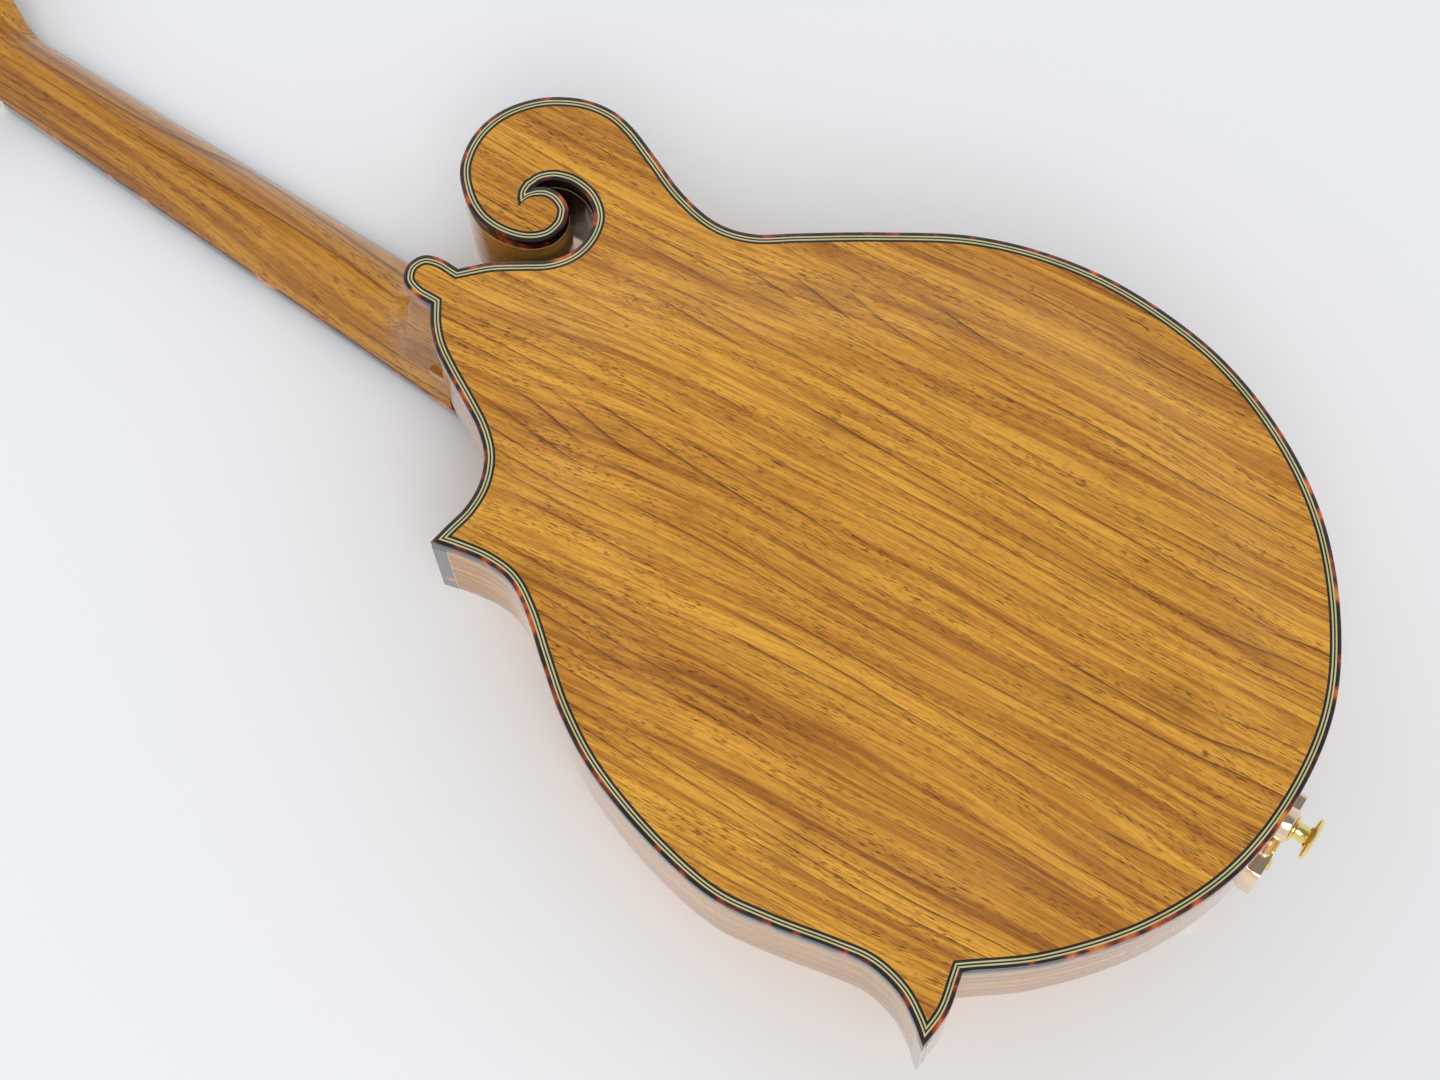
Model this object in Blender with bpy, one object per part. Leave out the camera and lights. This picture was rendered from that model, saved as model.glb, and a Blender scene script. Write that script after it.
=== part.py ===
# An f-style mandolin that lies on its strings with its back up.
# Metres, +Z up, +Y from the tail to the headstock, +X on the side of the scroll.
# The body frame has its origin at the centre of the lower bout, with z = 0 at the edge of the back.
# The whole body frame is tilted so that the strings between the nut and the saddle lie level.

import math

import bmesh
import bpy
import numpy as np
from mathutils import Vector
from mathutils.geometry import delaunay_2d_cdt

MM = 0.001
INCH = 25.4 * MM

# Clearances, and how far a cutter runs past what it cuts
FIT = 0.3 * MM
GLUE = 0.1 * MM
PAST = 10.0 * MM

# Body, whose outline is drawn below on a millimetre grid of this length and width
DRAWN_LENGTH = 362.7
DRAWN_WIDTH = 257.4
BODY_LENGTH = 362.7 * MM
BODY_WIDTH = 257.4 * MM
RIM_DEPTH = 43.0 * MM

# Carved plates. The arch's spread and centre are shares of the body's width and length.
BACK_ARCH = 12.0 * MM
TOP_ARCH = 16.0 * MM
ARCH_RISE = 50.0 * MM
ARCH_SPREAD_X = 0.64
ARCH_SPREAD_Y = 0.69
ARCH_CENTRE_Y = 0.06
BACK_THICKNESS = 4.8 * MM
TOP_EDGE = 2.5 * MM
TOP_THICKNESS = 4.4 * MM
TOP_EDGE_BAND = 8.0 * MM
TOP_GRADUATION = 20.0 * MM
PLATE_FACET = 23.0 * MM

# How closely a smooth run is followed: the most that it may turn before a new point, and the
# longest straight, in drawn millimetres
BODY_TURN = math.radians(22)
BODY_STRAIGHT = 22.0
F_HOLE_TURN = math.radians(12)
F_HOLE_STRAIGHT = 12.0
HEAD_TURN = math.radians(26)
HEAD_STRAIGHT = 34.0
BOARD_END_TURN = math.radians(22)
BOARD_END_STRAIGHT = 14.0
LEAST_STRAIGHT = 1.2

# Rim
RIB_THICKNESS = 2.4 * MM
BINDING_THICKNESS = 1.5 * MM
BACK_BINDING_HEIGHT = 7.0 * MM
LINING_WIDTH = 5.0 * MM
LINING_HEIGHT = 8.0 * MM
LINING_SLANT = 1.5 * MM
TAIL_BLOCK_WIDTH = 56.0 * MM
TAIL_BLOCK_LENGTH = 16.0 * MM
HEAD_BLOCK_LENGTH = 42.0 * MM
POINT_REACH = 15.0 * MM
POINT_BLOCK_REACH = 12.0 * MM
PROTECTOR_REACH = 5.0 * MM
PROTECTOR_THICKNESS = 0.8 * MM
PROTECTOR_SETBACK = 1.0 * MM
TONE_BAR_WIDTH = 6.0 * MM
TONE_BAR_HEIGHT = 11.0 * MM
F_HOLE_WIDTH = 6.5 * MM
F_HOLE_END_RADIUS = 5.0 * MM
F_HOLE_EYE_RADIUS = 3.8 * MM

# Neck, fingerboard and strings
SCALE_LENGTH = 352.4 * MM
JOINT_FRET = 15
FRETS = 24
NECK_PITCH = math.radians(4.3)
JOINT_SETBACK = 2.5 * MM
BOARD_HEIGHT_AT_JOINT = 19.5 * MM
BOARD_THICKNESS = 5.5 * MM
BOARD_EXTENSION = 67.0 * MM
NUT_WIDTH = 28.6 * MM
JOINT_WIDTH = 38.8 * MM
NUT_LENGTH = 4.8 * MM
FRET_HEIGHT = 1.0 * MM
FRET_WIDTH = 1.8 * MM
NECK_DEPTH_AT_NUT = 14.5 * MM
NECK_DEPTH_AT_HEEL = 17.0 * MM
NECK_REVEAL = 0.2 * MM
HEEL_LENGTH = 19.5 * MM
HEEL_HOLLOW = 19.5 * MM
HEEL_BACKSET = 4.0 * MM
TENON_WIDTH = 13.0 * MM
TENON_LENGTH = 22.0 * MM
TENON_ROOT = 6.0 * MM
TENON_INSET = 3.5 * MM
RISER_LENGTH = 50.0 * MM
RISER_LAP = 3.5 * MM
RISER_SINK = 2.0 * MM
RISER_REVEAL = 3.0 * MM
ROD_RADIUS = 2.4 * MM
ROD_DEPTH = 3.4 * MM
ROD_START = 8.0 * MM
ROD_NUT_LENGTH = 6.0 * MM
ROD_NUT_POCKET = 12.0 * MM
ROD_NUT_SPACE = 3.0 * MM
ACTION_AT_NUT = 2.3 * MM
ACTION_AT_OCTAVE = 3.5 * MM
STRING_RADII = [0.020 * INCH, 0.013 * INCH, 0.0075 * INCH, 0.0055 * INCH]
NUT_COURSE_PITCH = 7.3 * MM
NUT_PAIR_GAP = 2.3 * MM
SADDLE_COURSE_PITCH = 11.5 * MM
SADDLE_PAIR_GAP = 3.0 * MM

# Headstock and tuners
HEAD_PITCH = math.radians(14.0)
HEAD_THICKNESS = 12.5 * MM
OVERLAY_THICKNESS = 1.5 * MM
ROD_COVER_THICKNESS = 1.4 * MM
POST_FIRST = 46.0 * MM
POST_SPACING = 23.0 * MM
POST_OFFSET = 19.0 * MM
POST_RADIUS = 3.0 * MM
POST_WAIST_RADIUS = 2.5 * MM
POST_HOLE_RADIUS = 3.9 * MM
POST_LENGTH = 13.0 * MM
POST_WAIST = 6.5 * MM
PLATE_THICKNESS = 1.1 * MM
PLATE_WIDTH = 17.0 * MM
PLATE_LENGTH = 92.0 * MM
PLATE_CORNER = 3.0 * MM
PLATE_SHIFT = 1.0 * MM
EAR_THICKNESS = 1.5 * MM
EAR_REACH = 2.4 * MM
EAR_GAP = 0.85 * MM
GEAR_TEETH = 14
GEAR_PITCH_RADIUS = 4.4 * MM
TOOTH_HEIGHT = 0.7 * MM
GEAR_THICKNESS = 2.4 * MM
WORM_PITCH_RADIUS = 2.0 * MM
WORM_TURNS = 2.5
WORM_STEPS = 7
WORM_RISE = 3.7 * MM
SHAFT_RADIUS = 1.25 * MM
SHAFT_END = 41.0 * MM
BUTTON_LENGTH = 13.0 * MM
BUTTON_WIDTH = 12.0 * MM
BUTTON_DEPTH = 7.0 * MM
BUTTON_SEAT = 3.0 * MM

# Bridge
BRIDGE_LENGTH = 118.0 * MM
BASE_WIDTH = 11.0 * MM
BASE_END_HEIGHT = 4.0 * MM
BASE_RELIEF = 1.5 * MM
SADDLE_LENGTH = 106.0 * MM
SADDLE_THICKNESS = 6.0 * MM
SADDLE_HEIGHT = 7.6 * MM
CREST_LENGTH = 50.0 * MM
CREST_DROP = 0.8 * MM
STUD_OFFSET = 38.5 * MM
STUD_RADIUS = 2.0 * MM
STUD_LENGTH = 8.0 * MM
WHEEL_RADIUS = 7.0 * MM
WHEEL_THICKNESS = 1.7 * MM
BRIDGE_TRAVEL = 1.5 * MM

# Tailpiece
TAIL_FLANGE_WIDTH = 34.6 * MM
TAIL_FLANGE_THICKNESS = 3.2 * MM
TAIL_FLANGE_RISE = 5.0 * MM
TAIL_FLANGE_CORNER = 2.0 * MM
TAILPIECE_LENGTH = 84.0 * MM
TAILPIECE_WIDTH = 39.0 * MM
TAILPIECE_SLOPE = math.radians(8.0)
TAILPIECE_DROP = 6.8 * MM
TAILPIECE_THICKNESS = 1.6 * MM
COVER_START = 3.0 * MM
COVER_OVERHANG = 5.0 * MM
COVER_NOSE = 14.0 * MM
COVER_TAPER = 1.6 * MM
COVER_HEIGHT = 9.5 * MM
COVER_SHOULDER = 2.2 * MM
COVER_CROWN = 0.8 * MM
COVER_WALL = 1.2 * MM
HOOK_PLACE = 17.0 * MM
HOOK_LENGTH = 2.0 * MM
HOOK_HEIGHT = 5.2 * MM
HOOK_WIDTH = 1.4 * MM
HOOK_BAR_HEIGHT = 1.0 * MM
HOOK_BAR_MARGIN = 2.0 * MM
HOOK_COURSE_PITCH = 8.3 * MM
HOOK_PAIR_GAP = 2.85 * MM
SCREW_OFFSET = 9.0 * MM
SCREW_DROP = 6.0 * MM
SCREW_RADIUS = 2.6 * MM
SCREW_HEAD = 1.5 * MM

# End pin
PIN_DEPTH = 24.5 * MM
COLLAR_RADIUS = 6.1 * MM
COLLAR_LENGTH = 4.0 * MM
COLLAR_CHAMFER = 0.8 * MM
PIN_FLANGE_RADIUS = 5.3 * MM
PIN_RADIUS = 3.3 * MM
PIN_LENGTH = 6.0 * MM
PIN_HEAD_RADIUS = 7.8 * MM
PIN_HEAD_LENGTH = 2.3 * MM
PIN_FACE_RADIUS = 3.4 * MM
PIN_SHANK_RADIUS = 2.0 * MM
PIN_SHANK_LENGTH = 14.0 * MM

# The outline of the back seen from behind, drawn in millimetres. Each run is a smooth curve.
BASS_RUN = [
    (0, -128.4), (33, -124.3), (63, -110.3), (90, -89), (110, -62), (123.5, -30), (128.4, 5),
    (126, 35), (117, 64), (101, 91.5), (85, 115.5), (75.5, 129.5), (72.4, 143), (75.5, 159),
    (82, 174.5), (87.5, 188), (89.4, 199), (87, 211), (79.5, 223), (68, 231.5), (55, 234.3),
    (42, 231.3), (33, 223.5), (27.8, 214), (26.9, 204), (29.5, 194.5), (35, 188.3), (42, 186.6),
    (48.3, 189), (51.7, 195), (51, 200.8), (46.5, 206.3),
]
SLOT_RUN = [
    (46.5, 206.3), (51.5, 204.4), (55.3, 200), (57.1, 193.5), (55.6, 186), (50.5, 179.8),
    (42.5, 177.5), (34.5, 179), (28, 183.8), (22.5, 191.5), (16.5, 200), (8.3, 208.2),
]
BUTTON_RUN = [
    (8.3, 208.2), (8.3, 215.5), (5.9, 221.4), (0, 223.9), (-5.9, 221.4), (-8.3, 215.5), (-8.3, 208.2),
]
SHOULDER_RUN = [
    (-8.3, 208.2), (-14.5, 203.8), (-20.5, 197.5), (-26, 188.5), (-31.5, 178), (-37.5, 167.5),
    (-44.5, 159.8), (-53.5, 155.4), (-63, 154.3), (-72, 155.7), (-79.6, 156.8),
]
WAIST_RUN = [
    (-79.6, 156.8), (-77.3, 147.5), (-75.7, 137), (-76.8, 126.5), (-83, 115.5), (-94, 101.5),
    (-105.5, 86), (-116, 66.5), (-124.5, 40), (-129, 13), (-126.6, -8), (-121.8, -30),
    (-119.8, -42.5), (-122, -54.5), (-127, -63.5), (-132.4, -70.2),
]
POINT_RUN = [(-132.4, -70.2), (-119, -71.2), (-105.5, -68.3)]
LOWER_RUN = [(-105.5, -68.3), (-88, -89.5), (-62, -110.5), (-32, -124.2), (0, -128.4)]

# The middle of the f-hole on the scroll side, from the eye to the lower end, drawn like the outline
F_HOLE_RUN = [(46, 98), (52, 92), (56, 78), (58, 58), (61, 38), (66, 24), (71, 17)]
# The two ends of each tone bar, drawn like the outline
BASS_BAR_ENDS = [(38, -78), (22, 142)]
TREBLE_BAR_ENDS = [(-30, -78), (-17, 142)]

# Half of the headstock on the scroll side, then the other half, drawn in millimetres from the nut
HEAD_BASS_RUN = [
    (16, 0), (17, 12), (22.5, 24), (32, 31.5), (38, 35), (34.5, 47), (31.5, 65), (31, 90),
    (33.5, 113), (38.5, 130), (40.5, 143), (36.5, 153), (28.5, 155.5), (22.5, 150.5), (22.5, 143),
    (16, 141), (7, 145), (0, 152),
]
HEAD_TREBLE_RUN = [
    (0, 152), (-10, 161), (-23, 167), (-38, 168), (-37, 155), (-33.5, 135), (-31.2, 112),
    (-31, 90), (-31.5, 65), (-34.5, 47), (-38, 35), (-32, 31.5), (-22.5, 24), (-17, 12), (-16, 0),
]
# The truss rod's cover, drawn in millimetres from the nut
ROD_COVER_RUN = [(-9, 2), (9, 2), (7, 12), (5, 22), (0, 27), (-5, 22), (-7, 12)]
# The end of the fingerboard over the top, in millimetres from the joint: it is cut back on the bass side
BOARD_END_RUN = [
    (25, -51.6), (12, -51.8), (5, -53.2), (0, -56.5), (-3.5, -61), (-8, -64.5), (-14, -65.8), (-25, -66),
]

WIDEN = BODY_WIDTH / DRAWN_WIDTH
LENGTHEN = BODY_LENGTH / DRAWN_LENGTH
TAIL_Y = LOWER_RUN[-1][1] * LENGTHEN
JOINT_Y = BUTTON_RUN[0][1] * LENGTHEN - JOINT_SETBACK
NECK_LENGTH = SCALE_LENGTH * (1 - 2 ** (-JOINT_FRET / 12))
BOARD_Z = -RIM_DEPTH - BOARD_HEIGHT_AT_JOINT
ACTION_SLOPE = (ACTION_AT_OCTAVE - ACTION_AT_NUT) / (SCALE_LENGTH / 2)
STRING_PITCH = NECK_PITCH + math.atan(ACTION_SLOPE)
SADDLE_PLACE = NECK_LENGTH - SCALE_LENGTH
BRIDGE_Y = JOINT_Y + SADDLE_PLACE * math.cos(NECK_PITCH)
WORM_Z = HEAD_THICKNESS + GLUE + PLATE_THICKNESS + WORM_RISE
WORM_GAP = GEAR_PITCH_RADIUS + WORM_PITCH_RADIUS
WORM_PITCH = 2 * math.pi * GEAR_PITCH_RADIUS / GEAR_TEETH
EAR_PLACE = WORM_TURNS * WORM_PITCH / 2 + EAR_THICKNESS / 2 + EAR_GAP


def clear_scene():
    for obj in list(bpy.data.objects):
        bpy.data.objects.remove(obj, do_unlink=True)


def material(name, colour, roughness, metallic=0.0):
    made = bpy.data.materials.new(name)
    made.use_nodes = True
    shader = made.node_tree.nodes["Principled BSDF"]
    shader.inputs["Base Color"].default_value = (*colour, 1.0)
    shader.inputs["Roughness"].default_value = roughness
    shader.inputs["Metallic"].default_value = metallic
    made.diffuse_color = (*colour, 1.0)
    return made


def empty(name, parent=None, location=(0, 0, 0), pitch=0.0):
    made = bpy.data.objects.new(name, None)
    made.empty_display_size = 0.02
    made.parent = parent
    made.location = location
    made.rotation_euler = (pitch, 0, 0)
    bpy.context.scene.collection.objects.link(made)
    return made


def solid(name, bm, finish, parent, location=(0, 0, 0)):
    bmesh.ops.recalc_face_normals(bm, faces=bm.faces)
    mesh = bpy.data.meshes.new(name)
    bm.to_mesh(mesh)
    bm.free()
    made = bpy.data.objects.new(name, mesh)
    if finish:
        mesh.materials.append(finish)
    made.parent = parent
    made.location = location
    bpy.context.scene.collection.objects.link(made)
    shade(mesh)
    return made


def shade(mesh):
    mesh.shade_smooth()
    mesh.set_sharp_from_angle(angle=math.radians(30))


def loft(rings, closed=False):
    """A skin through rings of points, capped at both ends unless the rings come back to the first."""
    bm = bmesh.new()
    rows = [[bm.verts.new(point) for point in ring] for ring in rings]
    pairs = list(zip(rows, rows[1:]))
    if closed:
        pairs.append((rows[-1], rows[0]))
    for near, far in pairs:
        for i in range(len(near)):
            j = (i + 1) % len(near)
            bm.faces.new((near[i], near[j], far[j], far[i]))
    if not closed:
        bm.faces.new(rows[0])
        bm.faces.new(rows[-1])
    return bm


def prism(loop, z0, z1):
    return loft([[(x, y, z) for x, y in loop] for z in (z0, z1)])


def block(x0, x1, y0, y1, z0, z1):
    return prism([(x0, y0), (x1, y0), (x1, y1), (x0, y1)], z0, z1)


def across(profile, y0, y1):
    """A profile of (x, z) points drawn out along Y."""
    return loft([[(x, y, z) for x, z in profile] for y in (y0, y1)])


AXES = {
    "x": lambda r, a, h: (h, r * math.cos(a), r * math.sin(a)),
    "y": lambda r, a, h: (r * math.cos(a), h, r * math.sin(a)),
    "z": lambda r, a, h: (r * math.cos(a), r * math.sin(a), h),
}


def turned(profile, sides, axis, centre=(0, 0, 0)):
    """A turned piece, from (radius, height) points along an axis."""
    cx, cy, cz = centre
    rings = []
    for radius, height in profile:
        ring = []
        for k in range(sides):
            x, y, z = AXES[axis](radius, 2 * math.pi * (k + 0.5) / sides, height)
            ring.append((cx + x, cy + y, cz + z))
        rings.append(ring)
    return loft(rings)


def rod(radius, sides, axis, start, end, centre=(0, 0, 0)):
    return turned([(radius, start), (radius, end)], sides, axis, centre)


def combine(target, other, operation):
    """Joins or cuts a piece with another, which is used up."""
    bpy.context.view_layer.update()
    modifier = target.modifiers.new("combine", "BOOLEAN")
    modifier.operation = operation
    modifier.solver = "EXACT"
    modifier.object = other
    graph = bpy.context.evaluated_depsgraph_get()
    mesh = bpy.data.meshes.new_from_object(target.evaluated_get(graph))
    target.modifiers.clear()
    target.data = mesh
    bpy.data.objects.remove(other, do_unlink=True)
    shade(mesh)


def cut(target, bm, parent, location=(0, 0, 0)):
    combine(target, solid("cutter", bm, None, parent, location), "DIFFERENCE")


def join(target, bm, parent, location=(0, 0, 0)):
    combine(target, solid("addition", bm, None, parent, location), "UNION")


def smooth_run(points, most_turn, most_length):
    """Points on a smooth curve through the drawn ones, closer where it bends more."""
    drawn = [Vector(p) for p in points]
    first = drawn[0] * 2 - drawn[1]
    last = drawn[-1] * 2 - drawn[-2]
    knots = [first, *drawn, last]
    fine = []
    for a, b, c, d in zip(knots, knots[1:], knots[2:], knots[3:]):
        for k in range(24):
            t = k / 24
            fine.append(
                0.5 * (2 * b + (c - a) * t + (2 * a - 5 * b + 4 * c - d) * t**2
                       + (3 * b - a - 3 * c + d) * t**3)
            )
    fine.append(drawn[-1])
    kept = [fine[0]]
    turned_by = 0.0
    for before, here, after in zip(fine, fine[1:], fine[2:]):
        turned_by += abs((here - before).angle_signed(after - here))
        run = (after - kept[-1]).length
        if run > LEAST_STRAIGHT and (turned_by > most_turn or run > most_length):
            kept.append(here)
            turned_by = 0.0
    if (kept[-1] - fine[-1]).length < LEAST_STRAIGHT:
        kept.pop()
    return kept + [fine[-1]]


def body_points(run, most_turn=BODY_TURN, most_length=BODY_STRAIGHT):
    return [(p.x * WIDEN, p.y * LENGTHEN) for p in smooth_run(run, most_turn, most_length)]


RUNS = {
    "bass": body_points(BASS_RUN),
    "slot": body_points(SLOT_RUN),
    "button": body_points(BUTTON_RUN),
    "shoulder": body_points(SHOULDER_RUN),
    "waist": body_points(WAIST_RUN),
    "point": body_points(POINT_RUN),
    "lower": body_points(LOWER_RUN),
}
AROUND = ["bass", "slot", "shoulder", "waist", "point", "lower"]
AROUND_WITH_BUTTON = ["bass", "slot", "button", "shoulder", "waist", "point", "lower"]


def outline(names):
    """The closed outline as a list of points, with the first index of each run."""
    loop = []
    starts = {}
    for name in names:
        starts[name] = len(loop)
        loop += RUNS[name][:-1]
        if name == "slot" and "button" not in names:
            loop.append(RUNS[name][-1])
    return loop, starts


def inward(loop, closed=True):
    """The mitred inward normal at each point of a run that has its inside on the left."""
    points = np.array(loop)
    before = np.roll(points, 1, axis=0)
    after = np.roll(points, -1, axis=0)
    if not closed:
        before[0] = 2 * points[0] - points[1]
        after[-1] = 2 * points[-1] - points[-2]
    into = points - before
    out = after - points
    into /= np.linalg.norm(into, axis=1)[:, None]
    out /= np.linalg.norm(out, axis=1)[:, None]
    mean = into + out
    mean /= np.linalg.norm(mean, axis=1)[:, None]
    mitre = 1 / np.maximum((mean * into).sum(axis=1), 0.4)
    return np.stack([-mean[:, 1], mean[:, 0]], axis=1) * mitre[:, None]


def inset(loop, distance):
    moved = np.array(loop) + inward(loop) * distance
    return [tuple(p) for p in moved]


def strip(points, normals, profile, closed=False):
    """A strip along a run, whose profile is a loop of (inset, z) points."""
    rings = []
    for (x, y), (nx, ny) in zip(points, normals):
        rings.append([(x + nx * d, y + ny * d, z) for d, z in profile])
    return loft(rings, closed)


def edge_distance(x, y):
    """How far inside the outline a place is, or 0 outside it."""
    loop = np.array(BODY_LOOP)
    ends = np.roll(loop, -1, axis=0)
    place = np.array([x, y])
    along = ends - loop
    t = ((place - loop) * along).sum(axis=1) / (along**2).sum(axis=1)
    nearest = loop + along * np.clip(t, 0, 1)[:, None]
    distance = np.sqrt(((place - nearest) ** 2).sum(axis=1)).min()
    crosses = (loop[:, 1] > y) != (ends[:, 1] > y)
    at = loop[:, 0] + (y - loop[:, 1]) / np.where(crosses, along[:, 1], 1) * along[:, 0]
    inside = (crosses & (at > x)).sum() % 2
    return distance if inside else 0.0


def ease(t):
    t = min(max(t, 0.0), 1.0)
    return t * t * (3 - 2 * t)


def arch(x, y):
    """The height of a carved plate over its edge, as a share of the full arch."""
    reach = math.hypot(x / (ARCH_SPREAD_X * BODY_WIDTH),
                       (y - ARCH_CENTRE_Y * BODY_LENGTH) / (ARCH_SPREAD_Y * BODY_LENGTH))
    dome = math.cos(math.pi / 2 * min(reach, 1))
    return dome * ease(edge_distance(x, y) / ARCH_RISE)


def back_z(x, y):
    return BACK_ARCH * arch(x, y)


def back_inside_z(x, y):
    return back_z(x, y) - BACK_THICKNESS


def top_z(x, y):
    return -RIM_DEPTH - TOP_ARCH * arch(x, y)


def top_inside_z(x, y):
    graded = ease((edge_distance(x, y) - TOP_EDGE_BAND) / TOP_GRADUATION)
    return top_z(x, y) + TOP_EDGE + (TOP_THICKNESS - TOP_EDGE) * graded


def carved_plate(loop, upper, lower):
    """A carved plate between two surfaces, inside a closed outline."""
    inner = []
    rise = PLATE_FACET * math.sqrt(3) / 2
    low, high = np.min(loop, axis=0), np.max(loop, axis=0)
    for row in range(math.floor(low[1] / rise), math.ceil(high[1] / rise)):
        for column in range(math.floor(low[0] / PLATE_FACET), math.ceil(high[0] / PLATE_FACET)):
            x, y = (column + row % 2 / 2) * PLATE_FACET, row * rise
            if edge_distance(x, y) > 0.45 * PLATE_FACET:
                inner.append((x, y))
    flat = [Vector(p) for p in list(loop) + inner]
    points, _, faces, *_ = delaunay_2d_cdt(flat, [], [list(range(len(loop)))], 1, 1e-7)
    bm = bmesh.new()
    top = [bm.verts.new((p.x, p.y, upper(p.x, p.y))) for p in points]
    bottom = [bm.verts.new((p.x, p.y, lower(p.x, p.y))) for p in points]
    for face in faces:
        bm.faces.new([top[i] for i in face])
        bm.faces.new([bottom[i] for i in reversed(face)])
    rim = [edge for edge in bm.edges if edge.is_boundary and edge.verts[0] in set(top)]
    partner = dict(zip(top, bottom))
    for edge in rim:
        a, b = edge.verts
        bm.faces.new((a, b, partner[b], partner[a]))
    return bm


def outer_face_z(x, y):
    """The height of the top's outer face at a place, read from its own mesh."""
    hit, place, _, _ = bpy.data.objects["top_plate"].ray_cast((x, y, -1), (0, 0, 1))
    return place.z if hit else top_z(x, y)


def inner_face_z(x, y):
    """The height of the top's inner face at a place, read from its own mesh."""
    hit, place, _, _ = bpy.data.objects["top_plate"].ray_cast((x, y, 1), (0, 0, -1))
    return place.z if hit else top_inside_z(x, y)


def to_neck_z(along, body_z):
    """The height in the neck's frame, at a place along the neck, of a height in the body's frame."""
    return (body_z - BOARD_Z - along * math.sin(NECK_PITCH)) / math.cos(NECK_PITCH)


def board_half_width(along):
    return (JOINT_WIDTH + (NUT_WIDTH - JOINT_WIDTH) * along / NECK_LENGTH) / 2


def string_height(along):
    """How far the outer side of the strings stands off the fingerboard, toward the floor."""
    return ACTION_AT_NUT + ACTION_SLOPE * (NECK_LENGTH - along)


def course_places(course_pitch, pair_gap):
    """The x of the eight strings, from the heaviest course, on the scroll side."""
    places = []
    for course in range(4):
        for side in (0.5, -0.5):
            places.append((1.5 - course) * course_pitch + side * pair_gap)
    return places


def notched(half_width, crest_z, foot_z, places):
    """The profile of a nut or a saddle: a crest cut by a slot under each string."""
    profile = [(half_width, foot_z), (half_width, crest_z)]
    for i, x in enumerate(places):
        radius = STRING_RADII[i // 2]
        depth = 2 * (radius - STRING_RADII[-1]) + FIT / 2
        half = radius + FIT / 2
        profile += [(x + half, crest_z), (x + half, crest_z + depth)]
        profile += [(x - half, crest_z + depth), (x - half, crest_z)]
    profile += [(-half_width, crest_z), (-half_width, foot_z)]
    return profile


def make_body(root, looks):
    wood, maple, spruce = looks["wood"], looks["block"], looks["spruce"]
    loop, starts = outline(AROUND)
    normals = inward(loop)
    back_loop, _ = outline(AROUND_WITH_BUTTON)

    edge = inset(back_loop, BINDING_THICKNESS + GLUE)
    solid("back_plate", carved_plate(edge, back_z, back_inside_z), wood, root)
    edge = inset(loop, BINDING_THICKNESS + GLUE)
    top = solid("top_plate", carved_plate(edge, top_inside_z, top_z), spruce, root)
    for side in (1, -1):
        cut_f_hole(top, side, root)

    tall = [(0, 0), (BINDING_THICKNESS, 0),
            (BINDING_THICKNESS, -BACK_BINDING_HEIGHT), (0, -BACK_BINDING_HEIGHT)]
    solid("back_binding", strip(back_loop, inward(back_loop), tall, True), looks["tortoise"], root)
    low = [(0, TOP_EDGE - RIM_DEPTH), (BINDING_THICKNESS, TOP_EDGE - RIM_DEPTH),
           (BINDING_THICKNESS, -RIM_DEPTH), (0, -RIM_DEPTH)]
    solid("top_binding", strip(loop, normals, low, True), looks["tortoise"], root)

    # A rib is rebated for the back's binding and stands on the top's
    step = BINDING_THICKNESS + GLUE
    rib = [
        (0, -BACK_BINDING_HEIGHT - GLUE), (step, -BACK_BINDING_HEIGHT - GLUE),
        (step, -BACK_THICKNESS - GLUE), (RIB_THICKNESS, -BACK_THICKNESS - GLUE),
        (RIB_THICKNESS, TOP_EDGE - RIM_DEPTH + GLUE), (0, TOP_EDGE - RIM_DEPTH + GLUE),
    ]
    ribs = ["bass", "slot", "shoulder", "waist", "point"]
    places = [starts[name] for name in ribs] + [len(loop)]
    for name, first, last in zip(ribs, places, places[1:]):
        end = last if name == "slot" else last + 1
        index = [i % len(loop) for i in range(first, end)]
        title = "rib_lower" if name == "point" else f"rib_{name}"
        solid(title, strip([loop[i] for i in index], normals[index], rib), wood, root)

    inside = inset(loop, RIB_THICKNESS + GLUE)
    back_face = -BACK_THICKNESS - GLUE
    top_face = max(inner_face_z(x, y) for x, y in inside) + FIT
    run = relieved(loop, starts)
    near = RIB_THICKNESS + GLUE
    far = near + LINING_WIDTH
    for name, face, way in (("back_lining", back_face, -1), ("top_lining", top_face, 1)):
        kerfed = [(near, face), (far, face), (near + LINING_SLANT, face + way * LINING_HEIGHT),
                  (near, face + way * LINING_HEIGHT)]
        solid(name, strip(run, inward(run, closed=False), kerfed), maple, root)

    make_blocks(root, maple, inside, top_face, back_face)
    make_point_blocks(root, maple, loop, starts, top_face, back_face)
    make_tone_bars(root, spruce)
    make_protectors(root, looks["tortoise"], loop, starts)


def cut_f_hole(top, side, root):
    """A sound hole: a long waved slot between two round ends."""
    centre = [Vector((side * x, y)) for x, y in body_points(F_HOLE_RUN, F_HOLE_TURN, F_HOLE_STRAIGHT)]
    count = len(centre) - 1
    left = []
    right = []
    for i, here in enumerate(centre):
        along = centre[min(i + 1, count)] - centre[max(i - 1, 0)]
        normal = Vector((-along.y, along.x)).normalized()
        half = F_HOLE_WIDTH / 2 * (0.35 + 0.65 * math.sin(math.pi * i / count))
        left.append(here + normal * half)
        right.append(here - normal * half)
    above = PAST - RIM_DEPTH
    below = -RIM_DEPTH - TOP_ARCH - PAST
    cut(top, prism([tuple(p) for p in left + right[::-1]], below, above), root)
    cut(top, rod(F_HOLE_EYE_RADIUS, 12, "z", below, above, (*centre[0], 0)), root)
    cut(top, rod(F_HOLE_END_RADIUS, 12, "z", below, above, (*centre[-1], 0)), root)


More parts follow.
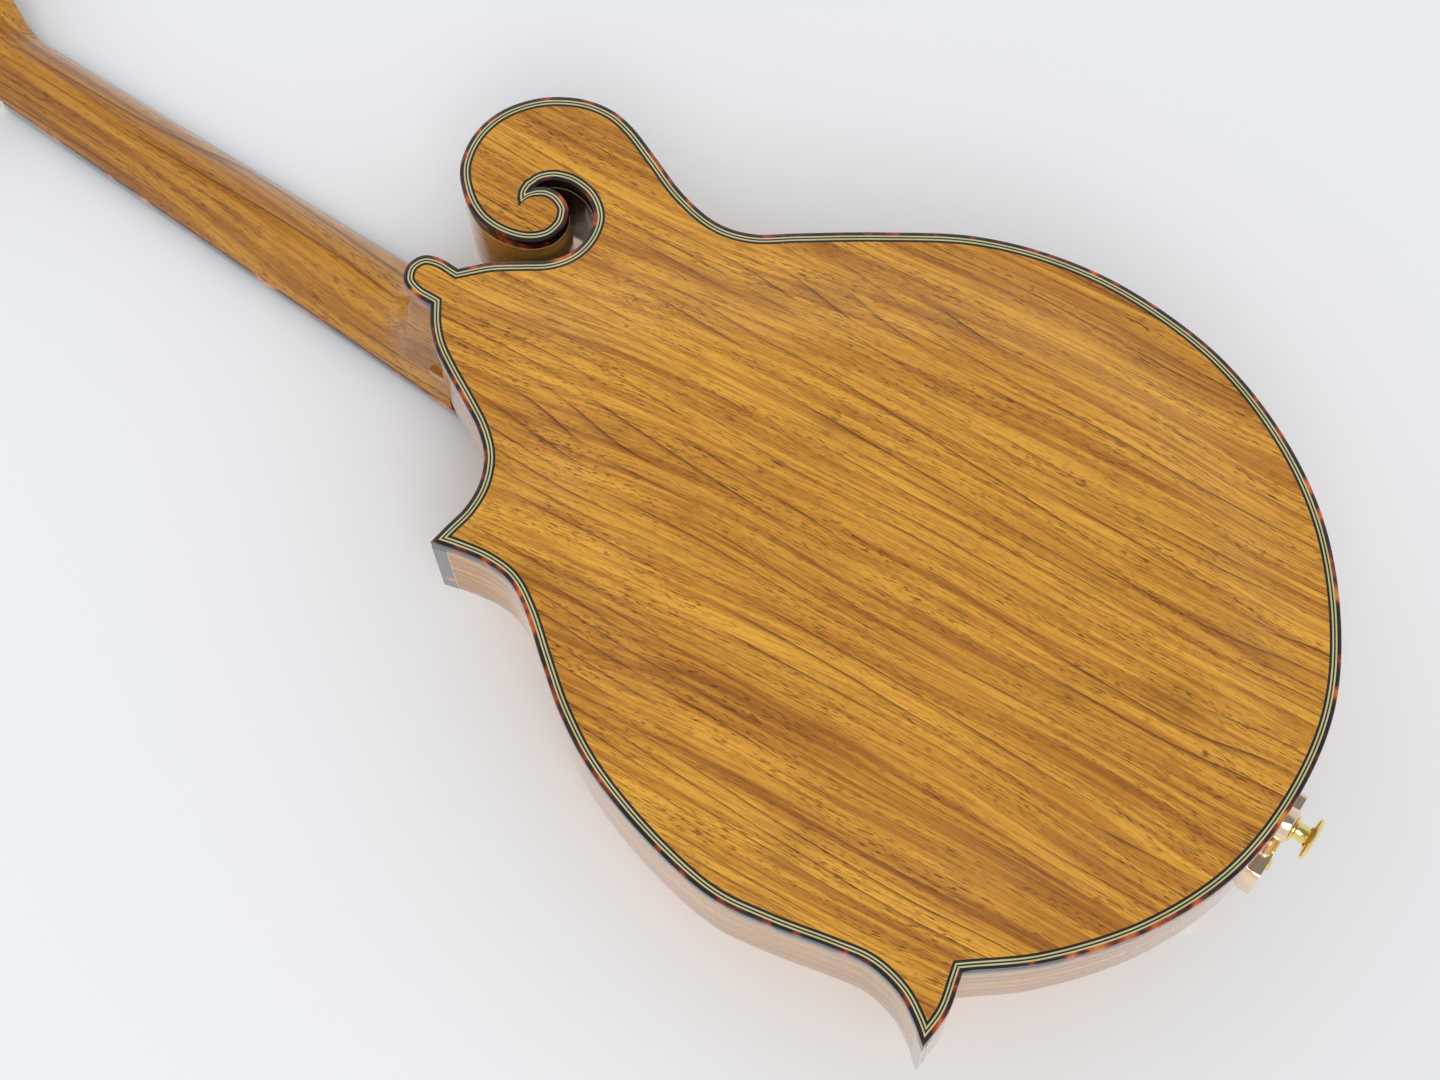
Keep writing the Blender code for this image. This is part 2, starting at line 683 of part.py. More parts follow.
def relieved(loop, starts):
    """The run of the linings, from the scroll block round the tail to the head block, which
    cuts across behind the two points."""
    tips = [Vector(loop[starts[name]]) for name in ("waist", "point")]
    block_front = JOINT_Y - HEAD_BLOCK_LENGTH - 2 * FIT
    kept = []
    for i in list(range(starts["shoulder"], len(loop))) + list(range(starts["slot"])):
        x, y = loop[i]
        if x > 0 and y > block_front:
            break
        if y > block_front or min((Vector((x, y)) - tip).length for tip in tips) < POINT_REACH:
            continue
        if i == starts["lower"]:
            # The inward corner stands off the rib a little
            x, y = x + FIT * 2, y + FIT * 2
        kept.append((x, y))
    return kept


def make_blocks(root, maple, inside, low, high):
    """The head block with the scroll's, and the tail block between the linings."""
    head = solid("head_block", prism(inside, low, high), maple, root)
    front = JOINT_Y - HEAD_BLOCK_LENGTH
    wide = BODY_WIDTH
    cut(head, block(-wide, wide, -BODY_LENGTH, front, -wide, wide), root)
    cut(head, tenon(FIT), root)

    step = LINING_HEIGHT + FIT
    tail = solid("tail_block", prism(inside, low + step, high - step), maple, root)
    front = TAIL_Y + RIB_THICKNESS + TAIL_BLOCK_LENGTH
    half = TAIL_BLOCK_WIDTH / 2
    cut(tail, block(-wide, wide, front, BODY_LENGTH, -wide, wide), root)
    cut(tail, block(half, wide, -BODY_LENGTH, BODY_LENGTH, -wide, wide), root)
    cut(tail, block(-wide, -half, -BODY_LENGTH, BODY_LENGTH, -wide, wide), root)


def make_point_blocks(root, maple, loop, starts, low, high):
    for name, run in (("upper_point_block", "waist"), ("lower_point_block", "point")):
        chain = corner_chain(loop, starts[run], POINT_BLOCK_REACH)
        corner = np.array(chain) + inward(chain, closed=False) * (RIB_THICKNESS + FIT)
        solid(name, prism([tuple(p) for p in corner], low, high), maple, root)


def corner_chain(loop, tip, reach):
    """The outline round a point, as far as reach on both sides of its tip."""
    place = Vector(loop[tip])
    sides = []
    for step in (-1, 1):
        side = []
        index = tip + step
        while (Vector(loop[index]) - place).length < reach:
            side.append(loop[index])
            index += step
        inner = Vector(side[-1]) if side else place
        outer = Vector(loop[index])
        share = (reach - (inner - place).length) / (outer - inner).length
        if share > 0.1:
            side.append(tuple(inner.lerp(outer, share)))
        sides.append(side)
    return sides[0][::-1] + [loop[tip]] + sides[1]


def tenon(gap):
    """The tenon that the neck has in the head block, or with a gap the mortise for it."""
    half = TENON_WIDTH / 2 + gap
    low = TOP_EDGE - RIM_DEPTH + TENON_INSET - gap
    return block(-half, half, JOINT_Y - TENON_LENGTH - gap, JOINT_Y + TENON_ROOT,
                 low, -BACK_THICKNESS - TENON_INSET + gap)


def make_tone_bars(root, spruce):
    """Two bars under the top, tall in the middle, glued along its inner face."""
    half = TONE_BAR_WIDTH / 2
    for name, (tail_end, head_end) in (("bass", BASS_BAR_ENDS), ("treble", TREBLE_BAR_ENDS)):
        rings = []
        for k in range(11):
            place = Vector(tail_end).lerp(Vector(head_end), k / 10)
            x, y = place.x * WIDEN, place.y * LENGTHEN
            glued = max(inner_face_z(x + dx, y) for dx in (-half, 0, half)) + FIT
            tall = TONE_BAR_HEIGHT * (0.3 + 0.7 * math.sin(math.pi * k / 10))
            rings.append([(x - half, y, glued), (x + half, y, glued),
                          (x + half / 2, y, glued + tall), (x - half / 2, y, glued + tall)])
        solid(f"tone_bar_{name}", loft(rings), spruce, root)


def make_protectors(root, tortoise, loop, starts):
    """The strips that cap the outer edge of the two points."""
    for name, run in (("upper_point_protector", "waist"), ("lower_point_protector", "point")):
        chain = corner_chain(loop, starts[run], PROTECTOR_REACH)
        near, far = -GLUE, -GLUE - PROTECTOR_THICKNESS
        high, low = -PROTECTOR_SETBACK, PROTECTOR_SETBACK - RIM_DEPTH
        profile = [(near, high), (far, high), (far, low), (near, low)]
        solid(name, strip(chain, inward(chain, closed=False), profile), tortoise, root)


def make_neck(root, neck, head, looks):
    """The neck from its heel to the headstock, in one piece, and the truss rod in its slot."""
    under = BOARD_THICKNESS + GLUE
    heel_top = -BACK_THICKNESS - GLUE
    button_half = BUTTON_RUN[0][0] * WIDEN - FIT
    rings = []
    for share in (-HEEL_BACKSET / HEEL_LENGTH, 0.3, 0.6, 0.82, 0.96):
        y = share * HEEL_LENGTH
        rings.append(neck_ring(y, under, to_neck_z(y, heel_top), button_half, 1.0))
    # The hollow of the heel is a quarter of an ellipse
    for degrees in (6, 16, 28, 44, 64, 90):
        a = math.radians(degrees)
        y = HEEL_LENGTH + HEEL_HOLLOW * (1 - math.cos(a))
        depth = to_neck_z(y, heel_top)
        shaft = under + NECK_DEPTH_AT_HEEL
        rings.append(neck_ring(y, under, depth + (shaft - depth) * math.sin(a), button_half,
                               1 - math.sin(a)))
    start = HEEL_LENGTH + HEEL_HOLLOW
    for share in (0.33, 0.66, 1.0):
        y = start + (NECK_LENGTH + NUT_LENGTH - start) * share
        depth = NECK_DEPTH_AT_HEEL + (NECK_DEPTH_AT_NUT - NECK_DEPTH_AT_HEEL) * share
        rings.append(neck_ring(y, under, under + depth, button_half, 0.0))
    made = solid("neck", loft(rings), looks["neck"], neck)

    join(made, riser(), root)
    loop, _ = outline(AROUND)
    body = carved_plate(inset(loop, -FIT), lambda x, y: PAST, lambda x, y: top_z(x, y) - 2 * FIT)
    cut(made, body, root)
    cut_round_button(made, root)
    join(made, tenon(0), root)
    join(made, prism(head_points(), 0, HEAD_THICKNESS), head)
    slot_end = NECK_LENGTH + NUT_LENGTH + ROD_NUT_POCKET
    half = ROD_RADIUS + FIT
    cut(made, block(-half, half, ROD_START, slot_end, -PAST, under + ROD_DEPTH + half), neck)
    for x, y in post_places():
        cut(made, rod(POST_HOLE_RADIUS, 8, "z", -PAST, HEAD_THICKNESS + PAST, (x, y, 0)), head)

    middle = (0, 0, under + ROD_DEPTH)
    nut_end = slot_end - ROD_NUT_SPACE
    nut_start = nut_end - ROD_NUT_LENGTH
    bar = solid("truss_rod", rod(ROD_RADIUS * 0.8, 8, "y", ROD_START + FIT, nut_end - FIT, middle),
                looks["steel"], neck)
    join(bar, rod(ROD_RADIUS, 6, "y", nut_start, nut_end, middle), neck)


def neck_ring(y, low, high, button_half, heel):
    """A section of the neck: a soft V, or with heel at 1 the straight-sided heel."""
    wide = board_half_width(min(y, NECK_LENGTH)) - NECK_REVEAL
    count = 12
    ring = []
    for k in range(count + 1):
        u = 1 - 2 * k / count
        soft = 0.72 * math.cos(math.pi / 2 * u) ** 0.75 + 0.28 * (1 - abs(u))
        rise = min(1.0, (1 - abs(u)) / 0.6)
        narrow = button_half + (wide - button_half) * (1 - rise**0.8)
        flat = button_half * abs(u) / 0.4 if abs(u) < 0.4 else narrow
        x = heel * math.copysign(flat, u) + (1 - heel) * wide * u
        share = heel * rise + (1 - heel) * soft
        ring.append((x, y, low + (high - low) * share))
    ring[0] = (wide, y, low)
    ring[-1] = (-wide, y, low)
    return ring


def cut_round_button(made, root):
    """Clears the heel from the binding round the back's button."""
    run = RUNS["slot"][-4:-1] + RUNS["button"] + RUNS["shoulder"][1:4]
    gap = BINDING_THICKNESS + FIT
    low = -BACK_BINDING_HEIGHT - GLUE
    ring = [(-PAST / 2, PAST), (gap, PAST), (gap, low), (-PAST / 2, low)]
    cut(made, strip(run, inward(run, closed=False), ring), root)


def riser():
    """The wedge that carries the fingerboard over the top, in the body's frame."""
    rings = []
    for along in (RISER_LAP, -0.3 * RISER_LENGTH, -0.65 * RISER_LENGTH, -RISER_LENGTH):
        y = JOINT_Y + along
        board = BOARD_Z + along * math.sin(NECK_PITCH) + BOARD_THICKNESS + 2 * GLUE
        half = board_half_width(along) - RISER_REVEAL
        foot = top_z(half, y) + RISER_SINK
        rings.append([(half, y, board), (half, y, foot), (-half, y, foot), (-half, y, board)])
    return loft(rings)


def head_points():
    drawn = smooth_run(HEAD_BASS_RUN, HEAD_TURN, HEAD_STRAIGHT)[:-1]
    drawn += smooth_run(HEAD_TREBLE_RUN, HEAD_TURN, HEAD_STRAIGHT)
    return [(p.x * MM, p.y * MM) for p in drawn]


def post_places():
    """The centres of the eight tuner posts: four up the scroll side, then four up the other."""
    places = []
    for side in (1, -1):
        for k in range(4):
            places.append((side * POST_OFFSET, POST_FIRST + k * POST_SPACING))
    return places


def make_fingerboard(neck, looks):
    """The fingerboard with its frets, as one skin from the end over the body to the nut."""
    rings = []

    def ring(y, high):
        half = board_half_width(y)
        rings.append([(half, y, BOARD_THICKNESS), (half, y, -high), (-half, y, -high),
                      (-half, y, BOARD_THICKNESS)])

    ring(-BOARD_EXTENSION, 0)
    for fret in range(FRETS, 0, -1):
        y = NECK_LENGTH - SCALE_LENGTH * (1 - 2 ** (-fret / 12))
        for dy, high in ((-0.5, 0), (0, FRET_HEIGHT), (0.5, 0)):
            ring(y + dy * FRET_WIDTH, high)
    ring(NECK_LENGTH - GLUE, 0)
    board = solid("fingerboard", loft(rings), looks["ebony"], neck)
    end = [(p.x * MM, p.y * MM) for p in smooth_run(BOARD_END_RUN, BOARD_END_TURN, BOARD_END_STRAIGHT)]
    far = -BOARD_EXTENSION - PAST
    cut(board, prism([*end, (end[-1][0], far), (end[0][0], far)], -PAST, PAST), neck)

    places = course_places(NUT_COURSE_PITCH, NUT_PAIR_GAP)
    crest = -string_height(NECK_LENGTH) + 2 * STRING_RADII[-1] + FIT
    profile = notched(NUT_WIDTH / 2, crest, BOARD_THICKNESS, places)
    solid("nut", across(profile, NECK_LENGTH, NECK_LENGTH + NUT_LENGTH), looks["bone"], neck)


def make_headstock(head, looks):
    """The overlay on the front, the truss rod's cover and the tuners."""
    low = -OVERLAY_THICKNESS - GLUE
    face = solid("headstock_overlay", prism(head_points(), low, -GLUE), looks["ebony"], head)
    wide = BODY_WIDTH
    cut(face, block(-wide, wide, -PAST, FIT, -PAST, PAST), head)
    for x, y in post_places():
        cut(face, rod(POST_HOLE_RADIUS, 8, "z", -PAST, PAST, (x, y, 0)), head)
    half = ROD_RADIUS + 2 * FIT
    cut(face, block(-half, half, -PAST, ROD_NUT_POCKET, -PAST, PAST), head)
    cover = [(x * MM, y * MM) for x, y in ROD_COVER_RUN]
    high = low - GLUE
    solid("truss_rod_cover", prism(cover, high - ROD_COVER_THICKNESS, high), looks["black"], head)

    for side, name in ((1, "bass"), (-1, "treble")):
        make_tuner_plate(head, looks, side, name)
    for index, (x, y) in enumerate(post_places()):
        make_tuner(head, looks, index, x, y)


def make_tuner_plate(head, looks, side, name):
    """A plate for four tuners, with two ears that carry each worm."""
    y_low = POST_FIRST + 1.5 * POST_SPACING - WORM_GAP / 2 - PLATE_LENGTH / 2
    y_high = y_low + PLATE_LENGTH
    x_low = side * (POST_OFFSET - PLATE_SHIFT) - PLATE_WIDTH / 2
    x_high = x_low + PLATE_WIDTH
    low = HEAD_THICKNESS + GLUE
    corner = PLATE_CORNER
    loop = [
        (x_low + corner, y_low), (x_high - corner, y_low), (x_high, y_low + corner),
        (x_high, y_high - corner), (x_high - corner, y_high), (x_low + corner, y_high),
        (x_low, y_high - corner), (x_low, y_low + corner),
    ]
    plate = solid(f"tuner_plate_{name}", prism(loop, low, low + PLATE_THICKNESS), looks["gold"], head)
    for x, y in post_places():
        if x * side < 0:
            continue
        worm_y = y - WORM_GAP
        for inner in (x - EAR_PLACE, x + EAR_PLACE):
            join(plate, block(inner - EAR_THICKNESS / 2, inner + EAR_THICKNESS / 2,
                              worm_y - EAR_REACH, worm_y + EAR_REACH,
                              low + PLATE_THICKNESS / 2, WORM_Z + EAR_REACH), head)
        cut(plate, rod(SHAFT_RADIUS + FIT, 6, "x", x - PAST, x + PAST, (0, worm_y, WORM_Z)), head)
        cut(plate, rod(POST_RADIUS + FIT, 8, "z", 0, HEAD_THICKNESS + PAST, (x, y, 0)), head)


def make_tuner(head, looks, index, x, y):
    """A post with its gear, and the worm with its shaft and button, each on its own axis."""
    side = 1 if x > 0 else -1
    post = empty(f"post_axis_{index + 1}", head, (x, y, 0))
    gear = []
    for tooth in range(GEAR_TEETH):
        for share, radius in ((-0.34, -1), (-0.14, 1), (0.14, 1), (0.34, -1)):
            a = 2 * math.pi * (tooth + share) / GEAR_TEETH - math.pi / 2
            r = GEAR_PITCH_RADIUS + radius * TOOTH_HEIGHT
            gear.append((r * math.cos(a), r * math.sin(a)))
    low = WORM_Z - GEAR_THICKNESS / 2
    top = low + GEAR_THICKNESS
    made = solid(f"tuner_post_{index + 1}", prism(gear, low, top), looks["brass"], post)
    end = -OVERLAY_THICKNESS - POST_LENGTH
    edge = POST_RADIUS - POST_WAIST_RADIUS
    join(made, turned([(POST_WAIST_RADIUS, end), (POST_RADIUS, end + edge),
                       (POST_WAIST_RADIUS, end + POST_WAIST), (POST_RADIUS, end + POST_WAIST + 3 * edge),
                       (POST_RADIUS, top - edge), (POST_WAIST_RADIUS, top + edge)], 8, "z"), post)

    pivot = empty(f"worm_axis_{index + 1}", head, (x, y - WORM_GAP, WORM_Z))
    made = solid(f"tuner_worm_{index + 1}", worm(), looks["brass"], pivot)
    out = SHAFT_END - abs(x)
    inner_end = EAR_PLACE + EAR_THICKNESS
    join(made, rod(SHAFT_RADIUS, 6, "x", -side * inner_end, side * out), pivot)
    rings = []
    for radius, place in ((0.35, 0.0), (0.95, 0.28), (0.95, 0.72), (0.4, 1.0)):
        ring = []
        for k in range(8):
            a = 2 * math.pi * (k + 0.5) / 8
            ring.append((side * (out - BUTTON_SEAT + place * BUTTON_LENGTH),
                         radius * BUTTON_WIDTH / 2 * math.cos(a), radius * BUTTON_DEPTH / 2 * math.sin(a)))
        rings.append(ring)
    join(made, loft(rings), pivot)


def worm():
    """A worm's thread along X, with the pitch of the gear's teeth. Its foot is sunk in the shaft."""
    foot = SHAFT_RADIUS * 0.56
    root = SHAFT_RADIUS + FIT / 2
    tip = WORM_PITCH_RADIUS + TOOTH_HEIGHT
    half_foot, half_tip = 0.32 * WORM_PITCH, 0.10 * WORM_PITCH
    steps = round(WORM_TURNS * WORM_STEPS)
    rings = []
    for k in range(steps + 1):
        turn = (k - steps / 2) / WORM_STEPS
        a = 2 * math.pi * turn + math.pi
        middle = WORM_PITCH * turn
        fade = min(1.0, (k + 1) / 4, (steps - k + 1) / 4)
        reach = root + (tip - root) * fade
        ring = [(-half_foot, foot), (-half_tip, reach), (half_tip, reach), (half_foot, foot)]
        rings.append([(middle + dx, r * math.cos(a), r * math.sin(a)) for dx, r in ring])
    return loft(rings)


def make_bridge(root, looks):
    """The base on its two feet with a stud at each end, the saddle and the two wheels that lift it."""
    crest = saddle_string_z() + 2 * STRING_RADII[-1] + FIT
    saddle_foot = crest + SADDLE_HEIGHT
    base_crown = saddle_foot + WHEEL_THICKNESS + BRIDGE_TRAVEL + 2 * FIT
    half = BASE_WIDTH / 2
    rings = []
    for share in (-1, -0.85, -0.7, -0.5, -0.32, -0.28, 0, 0.28, 0.32, 0.5, 0.7, 0.85, 1):
        x = share * BRIDGE_LENGTH / 2
        seat = min(outer_face_z(x, BRIDGE_Y + dy) for dy in (-half, 0, half)) - FIT
        if abs(share) < 0.3:
            seat -= BASE_RELIEF
        crown = min(base_crown, seat - BASE_END_HEIGHT)
        if abs(share) > 0.7:
            crown = seat - BASE_END_HEIGHT
        rings.append([(x, BRIDGE_Y - half, seat), (x, BRIDGE_Y + half, seat),
                      (x, BRIDGE_Y + half * 0.8, crown), (x, BRIDGE_Y - half * 0.8, crown)])
    base = solid("bridge_base", loft(rings), looks["ebony"], root)
    lift = empty("saddle_slide", root, (0, BRIDGE_Y, saddle_foot))
    places = course_places(SADDLE_COURSE_PITCH, SADDLE_PAIR_GAP)
    wide = SADDLE_LENGTH / 2
    rings = []
    for y, drop in ((-0.5, CREST_DROP), (-0.1, 0), (0.1, 0), (0.5, CREST_DROP)):
        profile = notched(CREST_LENGTH / 2, drop - SADDLE_HEIGHT, 0, places)
        wing = [(wide, 0), (wide, -0.45 * SADDLE_HEIGHT), (0.65 * wide, -0.78 * SADDLE_HEIGHT)]
        other = [(-x, z) for x, z in reversed(wing)]
        rings.append([(x, y * SADDLE_THICKNESS, z) for x, z in wing + profile[1:-1] + other])
    saddle = solid("bridge_saddle", loft(rings), looks["ebony"], lift)
    stud_end = base_crown - STUD_LENGTH
    for side, name in ((1, "bass"), (-1, "treble")):
        x = side * STUD_OFFSET
        join(base, rod(STUD_RADIUS, 10, "z", stud_end, base_crown + FIT * 3, (x, BRIDGE_Y, 0)), root)
        depth = stud_end - saddle_foot - BRIDGE_TRAVEL - FIT
        cut(saddle, rod(STUD_RADIUS + FIT, 10, "z", depth, PAST, (x, 0, 0)), lift)
        axis = empty(f"wheel_axis_{name}", lift, (x, 0, FIT))
        wheel = solid(f"thumbwheel_{name}", rod(WHEEL_RADIUS, 20, "z", 0, WHEEL_THICKNESS),
                      looks["gold"], axis)
        cut(wheel, rod(STUD_RADIUS + FIT, 10, "z", -PAST, PAST), axis)


def saddle_string_z():
    """The height in the body's frame of the outer side of the strings at the saddle."""
    drop = string_height(SADDLE_PLACE) * math.cos(NECK_PITCH)
    return BOARD_Z + SADDLE_PLACE * math.sin(NECK_PITCH) - drop


def make_tail(root, tail, looks):
    """The tailpiece, which is hung on the end by a thick flange and a screw, and its sliding cover."""
    half = TAIL_FLANGE_WIDTH / 2
    foot = TAIL_FLANGE_RISE - RIM_DEPTH
    low = -RIM_DEPTH - TAILPIECE_DROP - COVER_HEIGHT
    corner = TAIL_FLANGE_CORNER
    flange = [(half, low), (half, foot - corner), (half - corner, foot), (corner - half, foot),
              (-half, foot - corner), (-half, low)]
    face = TAIL_Y - FIT
    base = solid("tailpiece_base", across(flange, face - TAIL_FLANGE_THICKNESS, face), looks["rose"], root)
    wide = TAILPIECE_WIDTH / 2
    nose = TAILPIECE_LENGTH - COVER_OVERHANG
    straight = nose - COVER_NOSE
    start = -TAIL_FLANGE_THICKNESS / 2
    plan = [(-wide, start), (wide, start), (wide, straight), (wide - COVER_TAPER, nose),
            (COVER_TAPER - wide, nose), (-wide, straight)]
    join(base, prism(plan, -TAILPIECE_THICKNESS, 0), tail)
    places = course_places(HOOK_COURSE_PITCH, HOOK_PAIR_GAP)
    bar_end = places[0] + HOOK_BAR_MARGIN
    bar = -TAILPIECE_THICKNESS - HOOK_BAR_HEIGHT
    root_z = -TAILPIECE_THICKNESS / 2
    comb = [(bar_end, root_z), (bar_end, bar)]
    for x in places:
        comb += [(x + HOOK_WIDTH / 2, bar), (x + HOOK_WIDTH / 2, -HOOK_HEIGHT),
                 (x - HOOK_WIDTH / 2, -HOOK_HEIGHT), (x - HOOK_WIDTH / 2, bar)]
    comb += [(-bar_end, bar), (-bar_end, root_z)]
    join(base, across(comb, HOOK_PLACE, HOOK_PLACE + HOOK_LENGTH), tail)

    slide = empty("cover_slide", tail, (0, COVER_START, 0))
    straight = TAILPIECE_LENGTH - COVER_NOSE - COVER_START
    rings = []
    for place, taper in ((0, 0), (straight, 0), (straight + COVER_NOSE * 0.6, 0.45 * COVER_TAPER),
                         (straight + COVER_NOSE, COVER_TAPER)):
        inner = wide + FIT - taper
        rings.append([(x, place, z) for x, z in cover_section(inner)])
    solid("tailpiece_cover", loft(rings), looks["rose"], slide)

    screw = (-SCREW_OFFSET, face - TAIL_FLANGE_THICKNESS, foot - SCREW_DROP)
    head = [(SCREW_RADIUS * 0.55, -SCREW_HEAD), (SCREW_RADIUS, -SCREW_HEAD / 2), (SCREW_RADIUS, -FIT)]
    solid("tailpiece_screw", turned(head, 10, "y", screw), looks["gold"], root)


def cover_section(inner):
    """The cover's section: two walls and a crowned roof, with the inner half width given."""
    outer = inner + COVER_WALL
    roof = -COVER_HEIGHT
    soft = COVER_SHOULDER
    crown = COVER_CROWN
    half = [(outer, 0), (outer, roof + soft), (outer - soft, roof)]
    lining = [(inner - 0.8 * soft, roof + COVER_WALL), (inner, roof + soft + 0.2 * COVER_WALL), (inner, 0)]
    outside = half + [(0, roof - crown)] + [(-x, z) for x, z in reversed(half)]
    inside = [(-x, z) for x, z in reversed(lining)] + [(0, roof - crown + COVER_WALL)] + lining
    return outside + inside


def make_end_pin(root, looks):
    """The strap button on its pin, in a collar on the end of the body."""
    pin = (0, TAIL_Y, -PIN_DEPTH)
    profile = [(COLLAR_RADIUS, -FIT), (COLLAR_RADIUS, COLLAR_CHAMFER - COLLAR_LENGTH),
               (COLLAR_RADIUS - COLLAR_CHAMFER, -COLLAR_LENGTH)]
    collar = solid("end_pin_collar", turned(profile, 20, "y", pin), looks["rose"], root)
    cut(collar, rod(PIN_SHANK_RADIUS + FIT, 10, "y", -PAST, PAST, pin), root)
    start = -COLLAR_LENGTH - FIT
    end = start - PIN_LENGTH
    tip = end - PIN_HEAD_LENGTH
    thin = PIN_HEAD_LENGTH * 0.3
    button = [
        (PIN_SHANK_RADIUS, PIN_SHANK_LENGTH), (PIN_SHANK_RADIUS, start), (PIN_FLANGE_RADIUS, start),
        (PIN_FLANGE_RADIUS, start - thin), (PIN_RADIUS, start - 1.5 * thin), (PIN_RADIUS, end + 1.5 * thin),
        (PIN_HEAD_RADIUS - thin, end), (PIN_HEAD_RADIUS, end - thin),
        (PIN_HEAD_RADIUS * 0.7, tip + 0.4 * thin), (PIN_FACE_RADIUS, tip),
    ]
    solid("strap_button", turned(button, 16, "y", pin), looks["gold"], root)
    for name in ("rib_bass", "rib_lower", "tail_block"):
        hole = rod(PIN_SHANK_RADIUS + FIT, 10, "y", -PAST, PIN_SHANK_LENGTH + PAST, pin)
        cut(bpy.data.objects[name], hole, root)


def make_strings(root, neck, head, tail, looks):
    """Each string from its hook over the saddle and the nut to its post."""
    bpy.context.view_layer.update()
    home = root.matrix_world.inverted()
    hooks = course_places(HOOK_COURSE_PITCH, HOOK_PAIR_GAP)
    saddles = course_places(SADDLE_COURSE_PITCH, SADDLE_PAIR_GAP)
    nuts = course_places(NUT_COURSE_PITCH, NUT_PAIR_GAP)
    posts = post_places()
    for index, post in enumerate((0, 1, 2, 3, 7, 6, 5, 4)):
        radius = STRING_RADII[index // 2]
        post_x, post_y = posts[post]
        beside = abs(post_x) - POST_RADIUS - radius - FIT
        hook = Vector((hooks[index], HOOK_PLACE + HOOK_LENGTH + FIT, -0.73 * HOOK_HEIGHT))
        saddle = Vector((saddles[index], SADDLE_PLACE, radius - string_height(SADDLE_PLACE)))
        nut = Vector((nuts[index], NECK_LENGTH, radius - string_height(NECK_LENGTH)))
        behind = nut + Vector((0, NUT_LENGTH, FIT / 2))
        end = Vector((math.copysign(beside, post_x), post_y + POST_RADIUS / 2,
                      POST_WAIST - OVERLAY_THICKNESS - POST_LENGTH))
        points = [tail.matrix_world @ hook, neck.matrix_world @ saddle, neck.matrix_world @ nut,
                  neck.matrix_world @ behind, head.matrix_world @ end]
        curve = bpy.data.curves.new(f"string_{index + 1}", "CURVE")
        curve.dimensions = "3D"
        curve.bevel_depth = radius
        curve.bevel_resolution = 1
        curve.use_fill_caps = True
        spline = curve.splines.new("POLY")
        spline.points.add(len(points) - 1)
        for place, point in zip(spline.points, points):
            place.co = (*(home @ point), 1)
        curve.materials.append(looks["steel"] if index > 3 else looks["bronze"])
        made = bpy.data.objects.new(f"string_{index + 1}", curve)
        made.parent = root
        bpy.context.scene.collection.objects.link(made)


def set_down(root):
    """Moves the whole instrument so that its origin is under the middle of it, on the floor."""
    bpy.context.view_layer.update()
    graph = bpy.context.evaluated_depsgraph_get()
    places = []
    for obj in bpy.data.objects:
        if obj.type != "EMPTY":
            evaluated = obj.evaluated_get(graph)
            mesh = evaluated.to_mesh()
            places += [evaluated.matrix_world @ vertex.co for vertex in mesh.vertices]
            evaluated.to_mesh_clear()
    low = np.min(places, axis=0)
    high = np.max(places, axis=0)
    root.location = (-(low[0] + high[0]) / 2, -(low[1] + high[1]) / 2, -low[2])


BODY_LOOP, _ = outline(AROUND)


def main():
    clear_scene()
    looks = {
        "wood": material("golden rosewood", (0.36, 0.15, 0.035), 0.18),
        "neck": material("dark neck wood", (0.22, 0.09, 0.03), 0.2),
        "spruce": material("spruce", (0.75, 0.5, 0.24), 0.25),
        "block": material("block wood", (0.6, 0.42, 0.24), 0.6),
        "tortoise": material("tortoiseshell", (0.09, 0.015, 0.006), 0.12),
        "ebony": material("ebony", (0.02, 0.017, 0.015), 0.35),
        "black": material("black plastic", (0.015, 0.015, 0.016), 0.25),
        "bone": material("bone", (0.85, 0.8, 0.68), 0.3),
        "gold": material("gold plate", (0.9, 0.65, 0.2), 0.18, 1.0),
        "rose": material("rose gold plate", (0.85, 0.58, 0.4), 0.22, 1.0),
        "brass": material("brass", (0.8, 0.58, 0.2), 0.25, 1.0),
        "steel": material("steel", (0.6, 0.6, 0.6), 0.3, 1.0),
        "bronze": material("bronze winding", (0.6, 0.36, 0.18), 0.35, 1.0),
    }
    root = empty("instrument", pitch=-STRING_PITCH)
    neck = empty("neck_frame", root, (0, JOINT_Y, BOARD_Z), NECK_PITCH)
    head = empty("head_frame", neck, (0, NECK_LENGTH + NUT_LENGTH + FIT, BOARD_THICKNESS + GLUE), HEAD_PITCH)
    tail = empty("tail_frame", root, (0, TAIL_Y, -RIM_DEPTH - TAILPIECE_DROP), -TAILPIECE_SLOPE)
    make_body(root, looks)
    make_neck(root, neck, head, looks)
    make_fingerboard(neck, looks)
    make_headstock(head, looks)
    make_bridge(root, looks)
    make_tail(root, tail, looks)
    make_end_pin(root, looks)
    make_strings(root, neck, head, tail, looks)
    set_down(root)


main()
